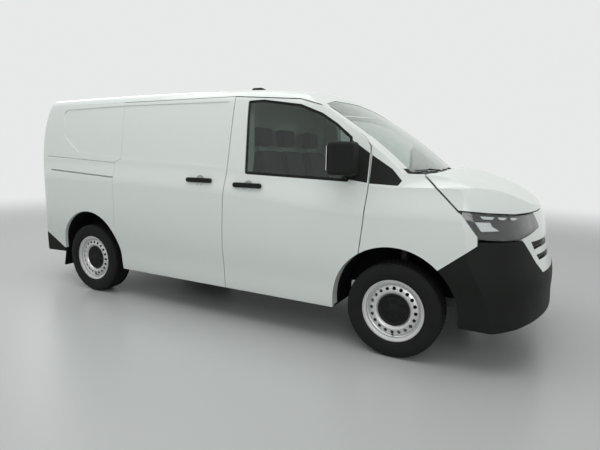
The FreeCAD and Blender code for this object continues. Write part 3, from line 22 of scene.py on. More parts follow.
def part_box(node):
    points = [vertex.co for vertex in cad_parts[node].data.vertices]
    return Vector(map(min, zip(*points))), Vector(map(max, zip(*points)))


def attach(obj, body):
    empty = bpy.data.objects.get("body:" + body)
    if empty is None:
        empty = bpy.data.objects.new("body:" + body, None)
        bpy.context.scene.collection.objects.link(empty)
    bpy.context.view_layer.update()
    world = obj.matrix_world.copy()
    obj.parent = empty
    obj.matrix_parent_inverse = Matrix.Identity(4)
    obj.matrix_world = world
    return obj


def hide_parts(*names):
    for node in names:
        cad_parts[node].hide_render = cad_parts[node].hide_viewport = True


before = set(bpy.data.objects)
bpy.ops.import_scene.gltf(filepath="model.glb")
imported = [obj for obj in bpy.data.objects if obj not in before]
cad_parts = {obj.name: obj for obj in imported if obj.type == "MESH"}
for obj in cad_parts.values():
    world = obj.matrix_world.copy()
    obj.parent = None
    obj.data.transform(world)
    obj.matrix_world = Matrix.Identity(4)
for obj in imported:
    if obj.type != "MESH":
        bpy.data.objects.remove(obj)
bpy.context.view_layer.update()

LOG = logging.getLogger("panel_van")
Colour = tuple[float, float, float]
Point = tuple[float, float, float]
Span = tuple[float, float]
Outline = tuple[Span, ...]
# A box's lowest and highest corner and the round of its edges.
Block = tuple[Point, Point, float]
SIDES = (("left", 1.0), ("right", -1.0))
ENDS = ("front", "rear")
SHARP = math.radians(35.0)
MERGE_REACH = 1e-5
LAMP_MERGE_REACH = 1e-6
ROUND_STEPS = 3


class Graph:
    """The node tree of a material or world, with short ways to add and link nodes."""

    def __init__(self, owner: bpy.types.Material | bpy.types.World) -> None:
        """Turns the owner's nodes on."""
        owner.use_nodes = True
        self.tree = owner.node_tree

    def add(self, kind: str, values: dict[str, object] | None = None, **settings: str) -> bpy.types.Node:
        """Adds a node.

        Args:
            kind: Its type, without the ShaderNode before it.
            values: Its inputs, by name.
            settings: Its own settings, by name.

        Returns:
            The new node.
        """
        node = self.tree.nodes.new(f"ShaderNode{kind}")
        for name, setting in settings.items():
            setattr(node, name, setting)
        self.fill(node, values or {})
        return node

    @staticmethod
    def fill(node: bpy.types.Node, values: dict[str, object]) -> None:
        """Sets a node's inputs by name."""
        for name, value in values.items():
            node.inputs[name].default_value = value

    def link(self, source: bpy.types.NodeSocket, target: bpy.types.NodeSocket) -> None:
        """Links an output to an input."""
        self.tree.links.new(source, target)

    def noise(self, place: bpy.types.NodeSocket, repeats: float, detail: float) -> bpy.types.NodeSocket:
        """Adds a noise texture.

        Args:
            place: The coordinates that it follows.
            repeats: How often it repeats in a metre.
            detail: How many finer layers it has.

        Returns:
            Its value.
        """
        node = self.add("TexNoise", {"Scale": repeats, "Detail": detail})
        self.link(place, node.inputs["Vector"])
        return node.outputs["Fac"]

    def larger(self, first: bpy.types.NodeSocket, second: bpy.types.NodeSocket) -> bpy.types.NodeSocket:
        """Adds the larger of two values.

        Args:
            first: One value.
            second: The other value.

        Returns:
            The larger one.
        """
        node = self.add("Math", operation="MAXIMUM")
        self.link(first, node.inputs[0])
        self.link(second, node.inputs[1])
        return node.outputs["Value"]

    def blend(self, share: bpy.types.NodeSocket, first: bpy.types.NodeSocket,
              second: bpy.types.NodeSocket) -> bpy.types.NodeSocket:
        """Adds a blend of two shaders.

        Args:
            share: How much of the second one shows.
            first: One shader.
            second: The other shader.

        Returns:
            The blended shader.
        """
        node = self.add("MixShader")
        self.link(share, node.inputs["Fac"])
        self.link(first, node.inputs[1])
        self.link(second, node.inputs[2])
        return node.outputs["Shader"]


class Pattern(Enum):
    """How the fine relief of a finish is made."""

    PEEL = "peel"
    PEBBLE = "pebble"
    CAST = "cast"
    WEAVE = "weave"
    BRUSHED = "brushed"
    CLEAR = "clear"


@dataclass(frozen=True)
class Finish:
    """One surface finish, built as a procedural material.

    Lengths are in metres and repeats are per metre.
    """

    name: str
    color: Colour
    roughness: float
    metallic: float = 0.0
    coat: float = 0.0
    sheen: float = 0.0
    transmission: float = 0.0
    ior: float = 1.5
    specular: float = 0.5
    pattern: Pattern = Pattern.PEEL
    repeats: float = 300.0
    depth: float = 0.0002
    shade: float = 0.06
    patches: float = 3.0
    uneven: float = 0.12
    coat_roughness: float = 0.04
    relief: float = 0.6
    patch_detail: float = 4.0
    cloud_range: Span = (0.3, 0.7)
    brush_stretch: Point = (0.06, 1.0, 1.0)
    thread_waver: float = 0.4

    def material(self) -> bpy.types.Material:
        """The finish's material, made once.

        Returns:
            The material with this finish's name.
        """
        found = bpy.data.materials.get(self.name)
        if found is not None:
            return found
        made = bpy.data.materials.new(self.name)
        graph = Graph(made)
        shader = graph.tree.nodes["Principled BSDF"]
        graph.fill(shader, {
            "Base Color": (*self.color, 1.0), "Roughness": self.roughness, "Metallic": self.metallic,
            "Coat Weight": self.coat, "Coat Roughness": self.coat_roughness, "Sheen Weight": self.sheen,
            "Transmission Weight": self.transmission, "IOR": self.ior, "Specular IOR Level": self.specular,
        })
        place = graph.add("TexCoord").outputs["Object"]
        cloud = graph.noise(place, self.patches, self.patch_detail)
        self._spread_roughness(graph, cloud, shader)
        if self.shade:
            self._spread_colour(graph, cloud, shader)
        if self.depth:
            bump = graph.add("Bump", {"Distance": self.depth, "Strength": self.relief})
            graph.link(self._height(graph, place), bump.inputs["Height"])
            graph.link(bump.outputs["Normal"], shader.inputs["Normal"])
        return made

    def _spread_roughness(self, graph: Graph, cloud: bpy.types.NodeSocket, shader: bpy.types.Node) -> None:
        """Lets the roughness wander a little over the surface.

        Args:
            graph: The material's nodes.
            cloud: The noise that it wanders with.
            shader: The shader that takes it.
        """
        spread = graph.add("MapRange", {
            "From Min": self.cloud_range[0], "From Max": self.cloud_range[1],
            "To Min": self.roughness * (1.0 - self.uneven),
            "To Max": min(1.0, self.roughness * (1.0 + self.uneven)),
        })
        graph.link(cloud, spread.inputs["Value"])
        graph.link(spread.outputs["Result"], shader.inputs["Roughness"])

    def _spread_colour(self, graph: Graph, cloud: bpy.types.NodeSocket, shader: bpy.types.Node) -> None:
        """Blends a slightly darker and a slightly lighter colour.

        Args:
            graph: The material's nodes.
            cloud: The noise that blends them.
            shader: The shader that takes the colour.
        """
        darker = [channel * (1.0 - self.shade) for channel in self.color]
        lighter = [min(1.0, channel * (1.0 + self.shade)) for channel in self.color]
        mix = graph.add("Mix", {"A": (*darker, 1.0), "B": (*lighter, 1.0)}, data_type="RGBA")
        graph.link(cloud, mix.inputs["Factor"])
        graph.link(mix.outputs["Result"], shader.inputs["Base Color"])

    def _height(self, graph: Graph, place: bpy.types.NodeSocket) -> bpy.types.NodeSocket:
        """The height pattern that the relief follows.

        Args:
            graph: The material's nodes.
            place: The piece's own coordinates.

        Returns:
            The height.
        """
        if self.pattern is Pattern.PEBBLE:
            cells = graph.add("TexVoronoi", {"Scale": self.repeats})
            graph.link(place, cells.inputs["Vector"])
            return cells.outputs["Distance"]
        if self.pattern is Pattern.WEAVE:
            return graph.larger(*(self._threads(graph, place, axis) for axis in ("Y", "Z")))
        if self.pattern is Pattern.BRUSHED:
            stretch = graph.add("Mapping", {"Scale": self.brush_stretch})
            graph.link(place, stretch.inputs["Vector"])
            grain = graph.add("TexNoise", {"Scale": self.repeats})
            graph.link(stretch.outputs["Vector"], grain.inputs["Vector"])
            return grain.outputs["Fac"]
        return graph.noise(place, self.repeats, 6.0 if self.pattern is Pattern.CAST else 1.0)

    def _threads(self, graph: Graph, place: bpy.types.NodeSocket, axis: str) -> bpy.types.NodeSocket:
        """The height of a weave's threads in one direction.

        Args:
            graph: The material's nodes.
            place: The piece's own coordinates.
            axis: The direction across the threads.

        Returns:
            The height.
        """
        wave = graph.add("TexWave", {"Scale": self.repeats, "Distortion": self.thread_waver},
                         bands_direction=axis)
        graph.link(place, wave.inputs["Vector"])
        return wave.outputs["Fac"]


PAINT = Finish("white_paint", (0.755, 0.80, 0.76), 0.24, coat=0.6, repeats=240.0, depth=0.00004, shade=0.012)
BLACK = Finish("grained_black_plastic", (0.008, 0.009, 0.008), 0.62, specular=0.20, pattern=Pattern.PEBBLE,
               repeats=900.0, depth=0.00016, shade=0.16)
SEAL = Finish("window_rubber", (0.012, 0.013, 0.013), 0.62, pattern=Pattern.CAST, repeats=700.0,
              depth=0.00008)
GLOSS_BLACK = Finish("smooth_black_plastic", (0.012, 0.013, 0.014), 0.16, coat=0.4, repeats=300.0,
                     depth=0.00003)
DARK_GLASS = Finish("tinted_glass", (0.40, 0.46, 0.43), 0.015, transmission=1.0, ior=1.45,
                    pattern=Pattern.CLEAR, depth=0.0, shade=0.0, uneven=0.6)
SCREEN_GLASS = Finish("windscreen_glass", (0.80, 0.88, 0.83), 0.012, transmission=1.0, ior=1.45,
                      pattern=Pattern.CLEAR, depth=0.0, shade=0.0, uneven=0.6)
LENS = Finish("clear_lens", (0.86, 0.88, 0.88), 0.02, transmission=1.0, ior=1.45, pattern=Pattern.CLEAR,
              depth=0.0, shade=0.0, uneven=0.6)
RED_LENS = Finish("red_lens", (0.36, 0.012, 0.014), 0.12, coat=0.7, repeats=90.0, depth=0.0002)
SILVER = Finish("silver_wheel_paint", (0.62, 0.63, 0.63), 0.34, metallic=0.55, coat=0.25, repeats=600.0,
                depth=0.00005, shade=0.05)
RUBBER = Finish("tyre_rubber", (0.0105, 0.0105, 0.011), 0.80, specular=0.22, pattern=Pattern.CAST,
                repeats=420.0, depth=0.0002, shade=0.22, patches=9.0)
STEEL = Finish("waxed_steel", (0.11, 0.11, 0.115), 0.46, metallic=0.6, pattern=Pattern.CAST, repeats=160.0,
               depth=0.0003, shade=0.25, patches=8.0)
IRON = Finish("rough_casting", (0.045, 0.045, 0.047), 0.65, metallic=0.3, pattern=Pattern.CAST, repeats=260.0,
              depth=0.0005, shade=0.2, patches=10.0)
BRIGHT = Finish("brushed_disc", (0.5, 0.5, 0.51), 0.3, metallic=0.95, pattern=Pattern.BRUSHED, repeats=900.0,
                depth=0.00008, shade=0.1)
TANK = Finish("moulded_tank", (0.03, 0.03, 0.032), 0.5, pattern=Pattern.PEBBLE, repeats=350.0, depth=0.0002)
INNER = Finish("moulded_grey_trim", (0.075, 0.078, 0.082), 0.6, pattern=Pattern.PEBBLE, repeats=800.0,
               depth=0.00018, shade=0.1)
CLOTH = Finish("woven_seat_cloth", (0.055, 0.058, 0.066), 0.9, sheen=0.35, pattern=Pattern.WEAVE,
               repeats=330.0, depth=0.0006, shade=0.2, patches=14.0)
LINER = Finish("arch_liner", (0.006, 0.006, 0.0065), 0.9, specular=0.15, pattern=Pattern.CAST, repeats=300.0,
               depth=0.0006)
MIRROR = Finish("mirror_glass", (0.82, 0.84, 0.85), 0.02, metallic=1.0, pattern=Pattern.CLEAR, depth=0.0,
                shade=0.01, uneven=0.5)
CHROME = Finish("reflector", (0.80, 0.82, 0.83), 0.14, metallic=0.9, pattern=Pattern.BRUSHED, repeats=500.0,
                depth=0.0001, shade=0.05)

NODE_FINISHES: dict[str, Finish] = {
    "floor": INNER, "side_panel_left": PAINT, "side_panel_right": PAINT, "sliding_door": PAINT, "roof": PAINT,
    "cab_frame": PAINT, "wings": PAINT, "grille": PAINT, "bonnet": PAINT, "bulkhead": PAINT,
    "front_bumper": BLACK, "rear_bumper": BLACK, "cowl": BLACK, "sliding_handle": BLACK, "antenna": BLACK,
    "headlamps": GLOSS_BLACK, "tail_lamps": RED_LENS, "windscreen": SCREEN_GLASS,
    "dashboard": INNER, "steering_wheel": INNER, "driver_seat": CLOTH, "passenger_bench": CLOTH,
    "engine": IRON, "front_subframe": STEEL, "rear_axle": STEEL, "fuel_tank": TANK, "exhaust": STEEL,
    "wheel_houses": LINER, "rear_hinges": BLACK,
}
for _side, _ in SIDES:
    NODE_FINISHES |= {
        f"front_door_{_side}": PAINT, f"rear_door_{_side}": PAINT, f"door_glass_{_side}": DARK_GLASS,
        f"door_trim_{_side}": BLACK, f"mirror_{_side}": BLACK, f"knuckle_{_side}": IRON,
    }
    for _end in ENDS:
        NODE_FINISHES |= {f"tyre_{_end}_{_side}": RUBBER, f"rim_{_end}_{_side}": SILVER}


def dress_nodes() -> None:
    """Gives every carried-over node its finish."""
    for name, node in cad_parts.items():
        finish = NODE_FINISHES[name]
        for slot in node.material_slots:
            slot.link = "OBJECT"
            slot.material = finish.material()


def shade(mesh: bpy.types.Mesh, angle: float) -> None:
    """Smooths the faces of a mesh, apart from edges sharper than an angle.

    Args:
        mesh: The mesh to shade.
        angle: The angle in radians.
    """
    for polygon in mesh.polygons:
        polygon.use_smooth = True
    mesh.set_sharp_from_angle(angle=angle)


def make_piece(form: bmesh.types.BMesh, name: str, finish: Finish, body: str,
               angle: float = SHARP) -> bpy.types.Object:
    """Turns a form into a finished piece that rides on a body.

    Args:
        form: The bmesh, which is freed.
        name: The piece's name.
        finish: Its finish.
        body: The body that it moves with.
        angle: Edges sharper than this stay sharp.

    Returns:
        The new object.
    """
    mesh = bpy.data.meshes.new(name)
    form.to_mesh(mesh)
    form.free()
    shade(mesh, angle)
    mesh.materials.append(finish.material())
    made = bpy.data.objects.new(name, mesh)
    bpy.context.scene.collection.objects.link(made)
    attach(made, body)
    LOG.info("made %s with %d faces", name, len(mesh.polygons))
    return made


def recalc(form: bmesh.types.BMesh) -> None:
    """Merges doubled points and turns every face outwards."""
    bmesh.ops.remove_doubles(form, verts=form.verts, dist=MERGE_REACH)
    bmesh.ops.recalc_face_normals(form, faces=form.faces)


def spin_profile(form: bmesh.types.BMesh, profile: Sequence[Span], centre: Vector, steps: int,
                 closed: bool = False) -> None:
    """Turns a profile of (radius, y) pairs about a line along Y, and adds it to a form.

    Args:
        form: The form that it goes into.
        profile: The section's corners.
        centre: A point on the axis.
        steps: How many steps make the full turn.
        closed: Whether the last corner joins the first.
    """
    ring = [form.verts.new((centre.x + radius, centre.y + across, centre.z)) for radius, across in profile]
    edges = [form.edges.new(pair) for pair in zip(ring, ring[1:] + (ring[:1] if closed else []))]
    bmesh.ops.spin(form, geom=ring + edges, cent=centre, axis=(0, 1, 0), angle=math.tau, steps=steps,
                   use_merge=True)


class Form:
    """A mesh that grows from simple solids and then becomes one piece."""

    def __init__(self) -> None:
        """Starts with an empty mesh."""
        self.mesh = bmesh.new()

    def block(self, low: Sequence[float], high: Sequence[float], round_by: float = 0.0) -> Form:
        """Adds a box with rounded edges.

        Args:
            low: Its lowest corner.
            high: Its highest corner.
            round_by: The radius of its edges.

        Returns:
            This form.
        """
        corners = bmesh.ops.create_cube(self.mesh, size=1.0)["verts"]
        low_at, high_at = Vector(low), Vector(high)
        middle, spans = (low_at + high_at) / 2, high_at - low_at
        for corner in corners:
            corner.co = Vector(tuple(middle[i] + corner.co[i] * spans[i] for i in range(3)))
        if round_by:
            edges = list(dict.fromkeys(edge for corner in corners for edge in corner.link_edges))
            bmesh.ops.bevel(self.mesh, geom=edges, offset=round_by, segments=ROUND_STEPS, profile=0.5,
                            affect="EDGES", material=-1, clamp_overlap=True)
        return self

    def rod(self, start: Sequence[float], end: Sequence[float], radius: float, sides: int = 20,
            tip: float | None = None) -> Form:
        """Adds a closed cylinder or cone between two points.

        Args:
            start: The middle of its first end.
            end: The middle of its other end.
            radius: Its radius at the first end.
            sides: How many flat sides it has.
            tip: Its radius at the other end, or None for the same.

        Returns:
            This form.
        """
        first, last = Vector(start), Vector(end)
        way = last - first
        place = Matrix.Translation((first + last) / 2) @ way.to_track_quat("Z", "Y").to_matrix().to_4x4()
        bmesh.ops.create_cone(self.mesh, cap_ends=True, segments=sides, radius1=radius,
                              radius2=radius if tip is None else tip, depth=way.length, matrix=place)
        return self

    def tube(self, points: Sequence[Sequence[float]], radius: float, sides: int = 10) -> Form:
        """Adds a closed round tube along a run of points.

        Args:
            points: The middle of the tube, point by point.
            radius: Its radius.
            sides: How many flat sides it has.

        Returns:
            This form.
        """
        run = [Vector(point) for point in points]
        rings = []
        for index, point in enumerate(run):
            way = run[min(index + 1, len(run) - 1)] - run[max(index - 1, 0)]
            turn = way.to_track_quat("Z", "Y").to_matrix()
            angles = (math.tau * side / sides for side in range(sides))
            circle = [Vector((math.cos(angle) * radius, math.sin(angle) * radius, 0)) for angle in angles]
            rings.append([self.mesh.verts.new(point + turn @ corner) for corner in circle])
        for ring, after in zip(rings, rings[1:]):
            for side in range(sides):
                beyond = (side + 1) % sides
                self.mesh.faces.new((ring[side], ring[beyond], after[beyond], after[side]))
        self.mesh.faces.new(list(reversed(rings[0])))
        self.mesh.faces.new(rings[-1])
        return self

    def slab(self, front: Sequence[Vector], back: Sequence[Vector]) -> Form:
        """Adds a closed solid between two outlines.

        Args:
            front: One outline's corners.
            back: The other outline's corners, as many.

        Returns:
            This form.
        """
        near = [self.mesh.verts.new(point) for point in front]
        far = [self.mesh.verts.new(point) for point in back]
        self.mesh.faces.new(near)
        self.mesh.faces.new(list(reversed(far)))
        for index in range(len(near)):
            after = (index + 1) % len(near)
            self.mesh.faces.new((near[after], near[index], far[index], far[after]))
        return self

    def belt(self, rows: Sequence[Sequence[Vector]]) -> Form:
        """Adds a closed ring.

        Args:
            rows: Rows of points that run round the ring; the rows follow each other round its section.

        Returns:
            This form.
        """
        rings = [[self.mesh.verts.new(point) for point in row[:-1]] for row in rows]
        for here, beyond in zip(rings, rings[1:] + rings[:1]):
            for index in range(len(here)):
                after = (index + 1) % len(here)
                self.mesh.faces.new((here[index], here[after], beyond[after], beyond[index]))
        return self

    def sheet(self, rows: Sequence[Sequence[Vector]]) -> Form:
        """Adds a closed solid that is long along its rows.

        Args:
            rows: Rows of points along it; the rows follow each other round its section.

        Returns:
            This form.
        """
        ring = [[self.mesh.verts.new(point) for point in row] for row in rows]
        for here, beyond in zip(ring, ring[1:] + ring[:1]):
            for index in range(len(here) - 1):
                self.mesh.faces.new((here[index], here[index + 1], beyond[index + 1], beyond[index]))
        self.mesh.faces.new([row[0] for row in ring])
        self.mesh.faces.new([row[-1] for row in reversed(ring)])
        return self

    def piece(self, name: str, finish: Finish, body: str, slot: str,
              angle: float = SHARP) -> bpy.types.Object:
        """Turns the form into a finished piece.

        Args:
            name: The piece's name.
            finish: Its finish.
            body: The body that it moves with.
            slot: The record's material slot, which is not used.
            angle: Edges sharper than this stay sharp.

        Returns:
            The new object.
        """
        bmesh.ops.recalc_face_normals(self.mesh, faces=self.mesh.faces)
        return make_piece(self.mesh, name, finish, body, angle)


def triangles(node: str) -> tuple[list[Vector], list[tuple[int, ...]]]:
    """The mesh of a carried-over node.

    Args:
        node: The node's name.

    Returns:
        Its corners, and its triangles as indices of corners.
    """
    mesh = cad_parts[node].data
    corners = [corner.co.copy() for corner in mesh.vertices]
    return corners, [tuple(polygon.vertices) for polygon in mesh.polygons]


class Skin:
    """The surface of a carried-over node, to lay small pieces on.

    Rays start in front of the van and behind it, at these places.
    """

    ahead = 3.4
    behind = -3.2

    def __init__(self, node: str) -> None:
        """Reads the node's triangles."""
        self.tree = BVHTree.FromPolygons(*triangles(node))

    def at(self, start: Sequence[float], way: Sequence[float]) -> Vector:
        """The first point of the surface from a start along a way.

        Args:
            start: Where the ray starts.
            way: Its direction.

        Returns:
            The point that it meets, or the start where it meets nothing.
        """
        met = self.tree.ray_cast(Vector(start), Vector(way).normalized())[0]
        return Vector(start) if met is None else met

    def tail(self, y: float, z: float) -> Vector:
        """The rear face's point at this y and z."""
        return self.at((self.behind, y, z), (1.0, 0.0, 0.0))

    def nose(self, y: float, z: float) -> Vector:
        """The front face's point at this y and z."""
        return self.at((self.ahead, y, z), (-1.0, 0.0, 0.0))


@dataclass
class Wheel:
    """One wheel: a tyre with its tread, the black centre cap and the valve.

    Sections are pairs of a radius and a place across the wheel. The tyre wall's radii count from the bead,
    and its places across from the section's greatest half width. The cap's places across count from its face.
    """

    end: str
    side: str
    sign: float
    bead: float = 0.2205
    bead_half: float = 0.069
    flange: Span = (0.003, 0.0905)
    wall: Outline = ((0.012, 0.0085), (0.026, 0.0035), (0.031, 0.0042), (0.036, 0.0012), (0.052, 0.0),
                     (0.060, 0.0012), (0.064, 0.0003), (0.082, 0.0045))
    shoulder: Outline = ((0.021, 0.0075),)
    tread_half: float = 0.088
    tread_edge: Outline = ((0.010, 0.0045), (0.0035, -0.003))
    grooves: Outline = ((0.052, 0.0045), (0.018, 0.005))
    groove_taper: float = 0.7
    groove_depth: float = 0.0075
    slot_share: float = 0.8
    rib_width: float = 0.034
    tread_band: float = 0.0045
    pitches: int = 78
    slot_every: int = 3
    tyre_sharp: float = math.radians(28.0)
    cap_face: float = 0.0585
    cap_steps: int = 60
    cap: Outline = ((0.0, 0.006), (0.030, 0.006), (0.036, 0.003), (0.050, 0.0035), (0.084, 0.001),
                    (0.094, -0.001), (0.104, 0.0045), (0.112, 0.003), (0.112, -0.006), (0.0, -0.006))
    nuts: int = 6
    nut_circle: float = 0.066
    nut_steps: int = 18
    nut_cover: Outline = ((0.017, -0.001), (0.017, 0.007), (0.0145, 0.007), (0.0125, 0.004), (0.0, 0.004))
    valve_foot: Span = (0.050, -0.183)
    valve_run: Span = (0.030, 0.012)
    valve_neck: float = 0.6
    valve_radii: Point = (0.0065, 0.0045, 0.0040)

    @property
    def name(self) -> str:
        """The end and side, as the nodes name them."""
        return f"{self.end}_{self.side}"

    @property
    def body(self) -> str:
        """The body that turns with this wheel."""
        return f"wheel_{self.name}"

    def rim_middle(self) -> Vector:
        """The middle of the wheel's own rim node."""
        low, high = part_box(f"rim_{self.name}")
        return (low + high) / 2

    def tyre_profile(self, radius: float, half: float) -> list[Span]:
        """The tyre's section, from one bead round to the other.

        Args:
            radius: The tyre's outer radius.
            half: Half its section width.

        Returns:
            Corners as (radius, y) pairs.
        """
        section = [(self.bead, self.bead_half), (self.bead + self.flange[0], self.flange[1])]
        section += [(self.bead + out, half - inset) for out, inset in self.wall]
        section += [(radius - depth, half - inset) for depth, inset in self.shoulder]
        section += [(radius - depth, self.tread_half + past) for depth, past in self.tread_edge]
        floor = radius - self.groove_depth
        for middle, width in self.grooves:
            foot = width * self.groove_taper
            section += [(radius, middle + width), (floor, middle + foot), (floor, middle - foot),
                        (radius, middle - width)]
        return section + [(out, -across) for out, across in reversed(section)]

    def build_tyre(self) -> None:
        """Turns the tyre and cuts the cross slots of its tread."""
        node = f"tyre_{self.name}"
        low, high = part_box(node)
        middle = (low + high) / 2
        radius = (high.z - low.z) / 2
        steps = self.pitches * self.slot_every
        form = bmesh.new()
        spin_profile(form, self.tyre_profile(radius, (high.y - low.y) / 2), middle, steps, closed=True)
        recalc(form)
        slots = [face for face in form.faces if self._in_slot(face, middle, radius, steps)]
        for face in bmesh.ops.extrude_discrete_faces(form, faces=slots)["faces"]:
            self._sink(face, middle)
        piece = make_piece(form, f"tyre_tread_{self.name}", RUBBER, self.body, self.tyre_sharp)
        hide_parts(node)

    def _in_slot(self, face: bmesh.types.BMFace, middle: Vector, radius: float, steps: int) -> bool:
        """Whether a tread face lies in one of the tread's cross slots.

        Args:
            face: A face of the turned tyre.
            middle: The tyre's middle.
            radius: Its outer radius.
            steps: How many faces go round it.

        Returns:
            True where it lies in a slot.
        """
        at = face.calc_center_median() - middle
        if math.hypot(at.x, at.z) < radius - self.tread_band or abs(at.y) > self.tread_half:
            return False
        turn = math.atan2(at.z, at.x) / math.tau * steps
        rib = int(abs(at.y) / self.rib_width) + (2 if at.y > 0 else 0)
        return (math.floor(turn) + rib) % self.slot_every == 0

    def _sink(self, face: bmesh.types.BMFace, middle: Vector) -> None:
        """Moves a slot's floor in towards the axle.

        Args:
            face: The slot's floor.
            middle: The tyre's middle.
        """
        for corner in face.verts:
            at = corner.co - middle
            out = math.hypot(at.x, at.z)
            share = (out - self.groove_depth * self.slot_share) / out
            corner.co = middle + Vector((at.x * share, at.y, at.z * share))

    def _outward(self, section: Outline) -> list[Span]:
        """The cap's section, on this wheel's outer side."""
        return [(out, self.sign * (self.cap_face + across)) for out, across in section]

    def build_cap(self) -> None:
        """Turns the black centre cap and the round covers of its nuts."""
        middle = self.rim_middle()
        form = bmesh.new()
        spin_profile(form, self._outward(self.cap), middle, self.cap_steps)
        for index in range(self.nuts):
            angle = math.tau * (index + 0.5) / self.nuts
            out = Vector((math.cos(angle) * self.nut_circle, 0.0, math.sin(angle) * self.nut_circle))
            spin_profile(form, self._outward(self.nut_cover), middle + out, self.nut_steps)
        recalc(form)
        make_piece(form, f"wheel_cap_{self.name}", BLACK, self.body)

    def build_valve(self) -> None:
        """The valve, which looks out of one of the disc's holes."""
        middle = self.rim_middle()
        out, down = self.valve_foot
        foot = Vector((middle.x, middle.y + self.sign * out, middle.z + down))
        head = foot + Vector((0.0, self.sign * self.valve_run[0], self.valve_run[1]))
        neck = foot.lerp(head, self.valve_neck)
        wide, narrow, tip = self.valve_radii
        form = Form().rod(foot, neck, wide, sides=14, tip=narrow).rod(neck, head, tip, sides=12)
        form.piece(f"valve_{self.name}", RUBBER, self.body, "black_plastic")

    def build(self) -> None:
        """Builds the wheel's own pieces."""
        self.build_tyre()
        self.build_cap()
        self.build_valve()


@dataclass
class Headlamps:
    """Both headlamps: a clear lens over a dark housing with its bright reflectors."""

    reflectors: tuple[Outline, ...] = (
        ((0.952, 1.041), (0.896, 1.035), (0.910, 1.020), (0.946, 1.023)),
        ((0.880, 1.034), (0.828, 1.029), (0.850, 1.015), (0.876, 1.019)),
        ((0.806, 1.028), (0.745, 1.023), (0.774, 1.011), (0.801, 1.013)),
        ((0.975, 1.004), (0.924, 1.002), (0.921, 0.978), (0.894, 0.950), (0.964, 0.947)),
    )
    clear: float = 0.05
    lens_depth: float = 0.0049
    edge_depth: float = 0.0033
    front_tilt: float = 0.15
    mirror_tilt: float = 0.2
    half_turn: float = 0.5
    ray_lift: float = 0.0004

    def build(self) -> None:
        """Replaces the lamps' node by a lens piece and a housing piece, each merged on its own."""
        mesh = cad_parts["headlamps"].data
        points, faces = triangles("headlamps")
        everything = BVHTree.FromPolygons(points, faces)
        outer = [polygon for polygon in mesh.polygons if self._outermost(everything, polygon)]
        shell = BVHTree.FromPolygons(points, [tuple(polygon.vertices) for polygon in outer])
        fronts = {polygon.index for polygon in outer}
        glass = {polygon.index for polygon in mesh.polygons
                 if polygon.index in fronts or self._in_lens(shell, polygon)}
        lens = self._part(points, [faces[index] for index in range(len(faces)) if index in glass])
        made = make_piece(lens, "headlamp_lenses", LENS, "body")
        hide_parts("headlamps")
        housing = self._part(points, [faces[index] for index in range(len(faces)) if index not in glass])
        for face in housing.faces:
            face.material_index = 1 if self._bright(face) else 0
        made = make_piece(housing, "headlamp_housings", GLOSS_BLACK, "body")
        made.data.materials.append(CHROME.material())
        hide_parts("headlamps")

    @staticmethod
    def _part(points: Sequence[Vector], faces: Sequence[tuple[int, ...]]) -> bmesh.types.BMesh:
        """A merged form of some of the lamps' triangles.

        Args:
            points: All corners of the lamps' mesh.
            faces: The triangles, as indices of corners.

        Returns:
            The form.
        """
        form = bmesh.new()
        needed = sorted({index for face in faces for index in face})
        used = {index: form.verts.new(points[index]) for index in needed}
        for face in faces:
            form.faces.new([used[index] for index in face])
        bmesh.ops.remove_doubles(form, verts=form.verts, dist=LAMP_MERGE_REACH)
        form.normal_update()
        return form

    def _outermost(self, everything: BVHTree, face: bpy.types.MeshPolygon) -> bool:
        """Whether nothing of the lamp lies in front of a face.

        Args:
            everything: The lamps' triangles.
            face: One of their faces.

        Returns:
            True where it is the lamp's outer face.
        """
        if face.normal.x < self.front_tilt:
            return False
        start = face.center + face.normal * self.ray_lift
        return everything.ray_cast(start, face.normal, self.clear)[0] is None

    def _in_lens(self, shell: BVHTree, face: bpy.types.MeshPolygon) -> bool:
        """Whether a face is the back or the rim of a lens.

        Args:
            shell: The lamps' outer faces.
            face: Another of their faces.

        Returns:
            True where it belongs to a lens.
        """
        near, normal, _, distance = shell.find_nearest(face.center)
        if near is None:
            return False
        along = face.normal.dot(normal)
        if along < -self.half_turn:
            return distance < self.lens_depth
        return distance < self.edge_depth and abs(along) < self.half_turn

    def _bright(self, face: bmesh.types.BMFace) -> bool:
        """Whether a housing's face is the front of a reflector.

        Args:
            face: A face of the housing.

        Returns:
            True where it is bright.
        """
        if face.normal.x < self.mirror_tilt:
            return False
        at = face.calc_center_median()
        place = Vector((abs(at.y), at.z))
        for outline in self.reflectors:
            first, *others = [Vector(corner) for corner in outline]
            if any(intersect_point_tri_2d(place, first, *pair) for pair in zip(others, others[1:])):
                return True
        return False


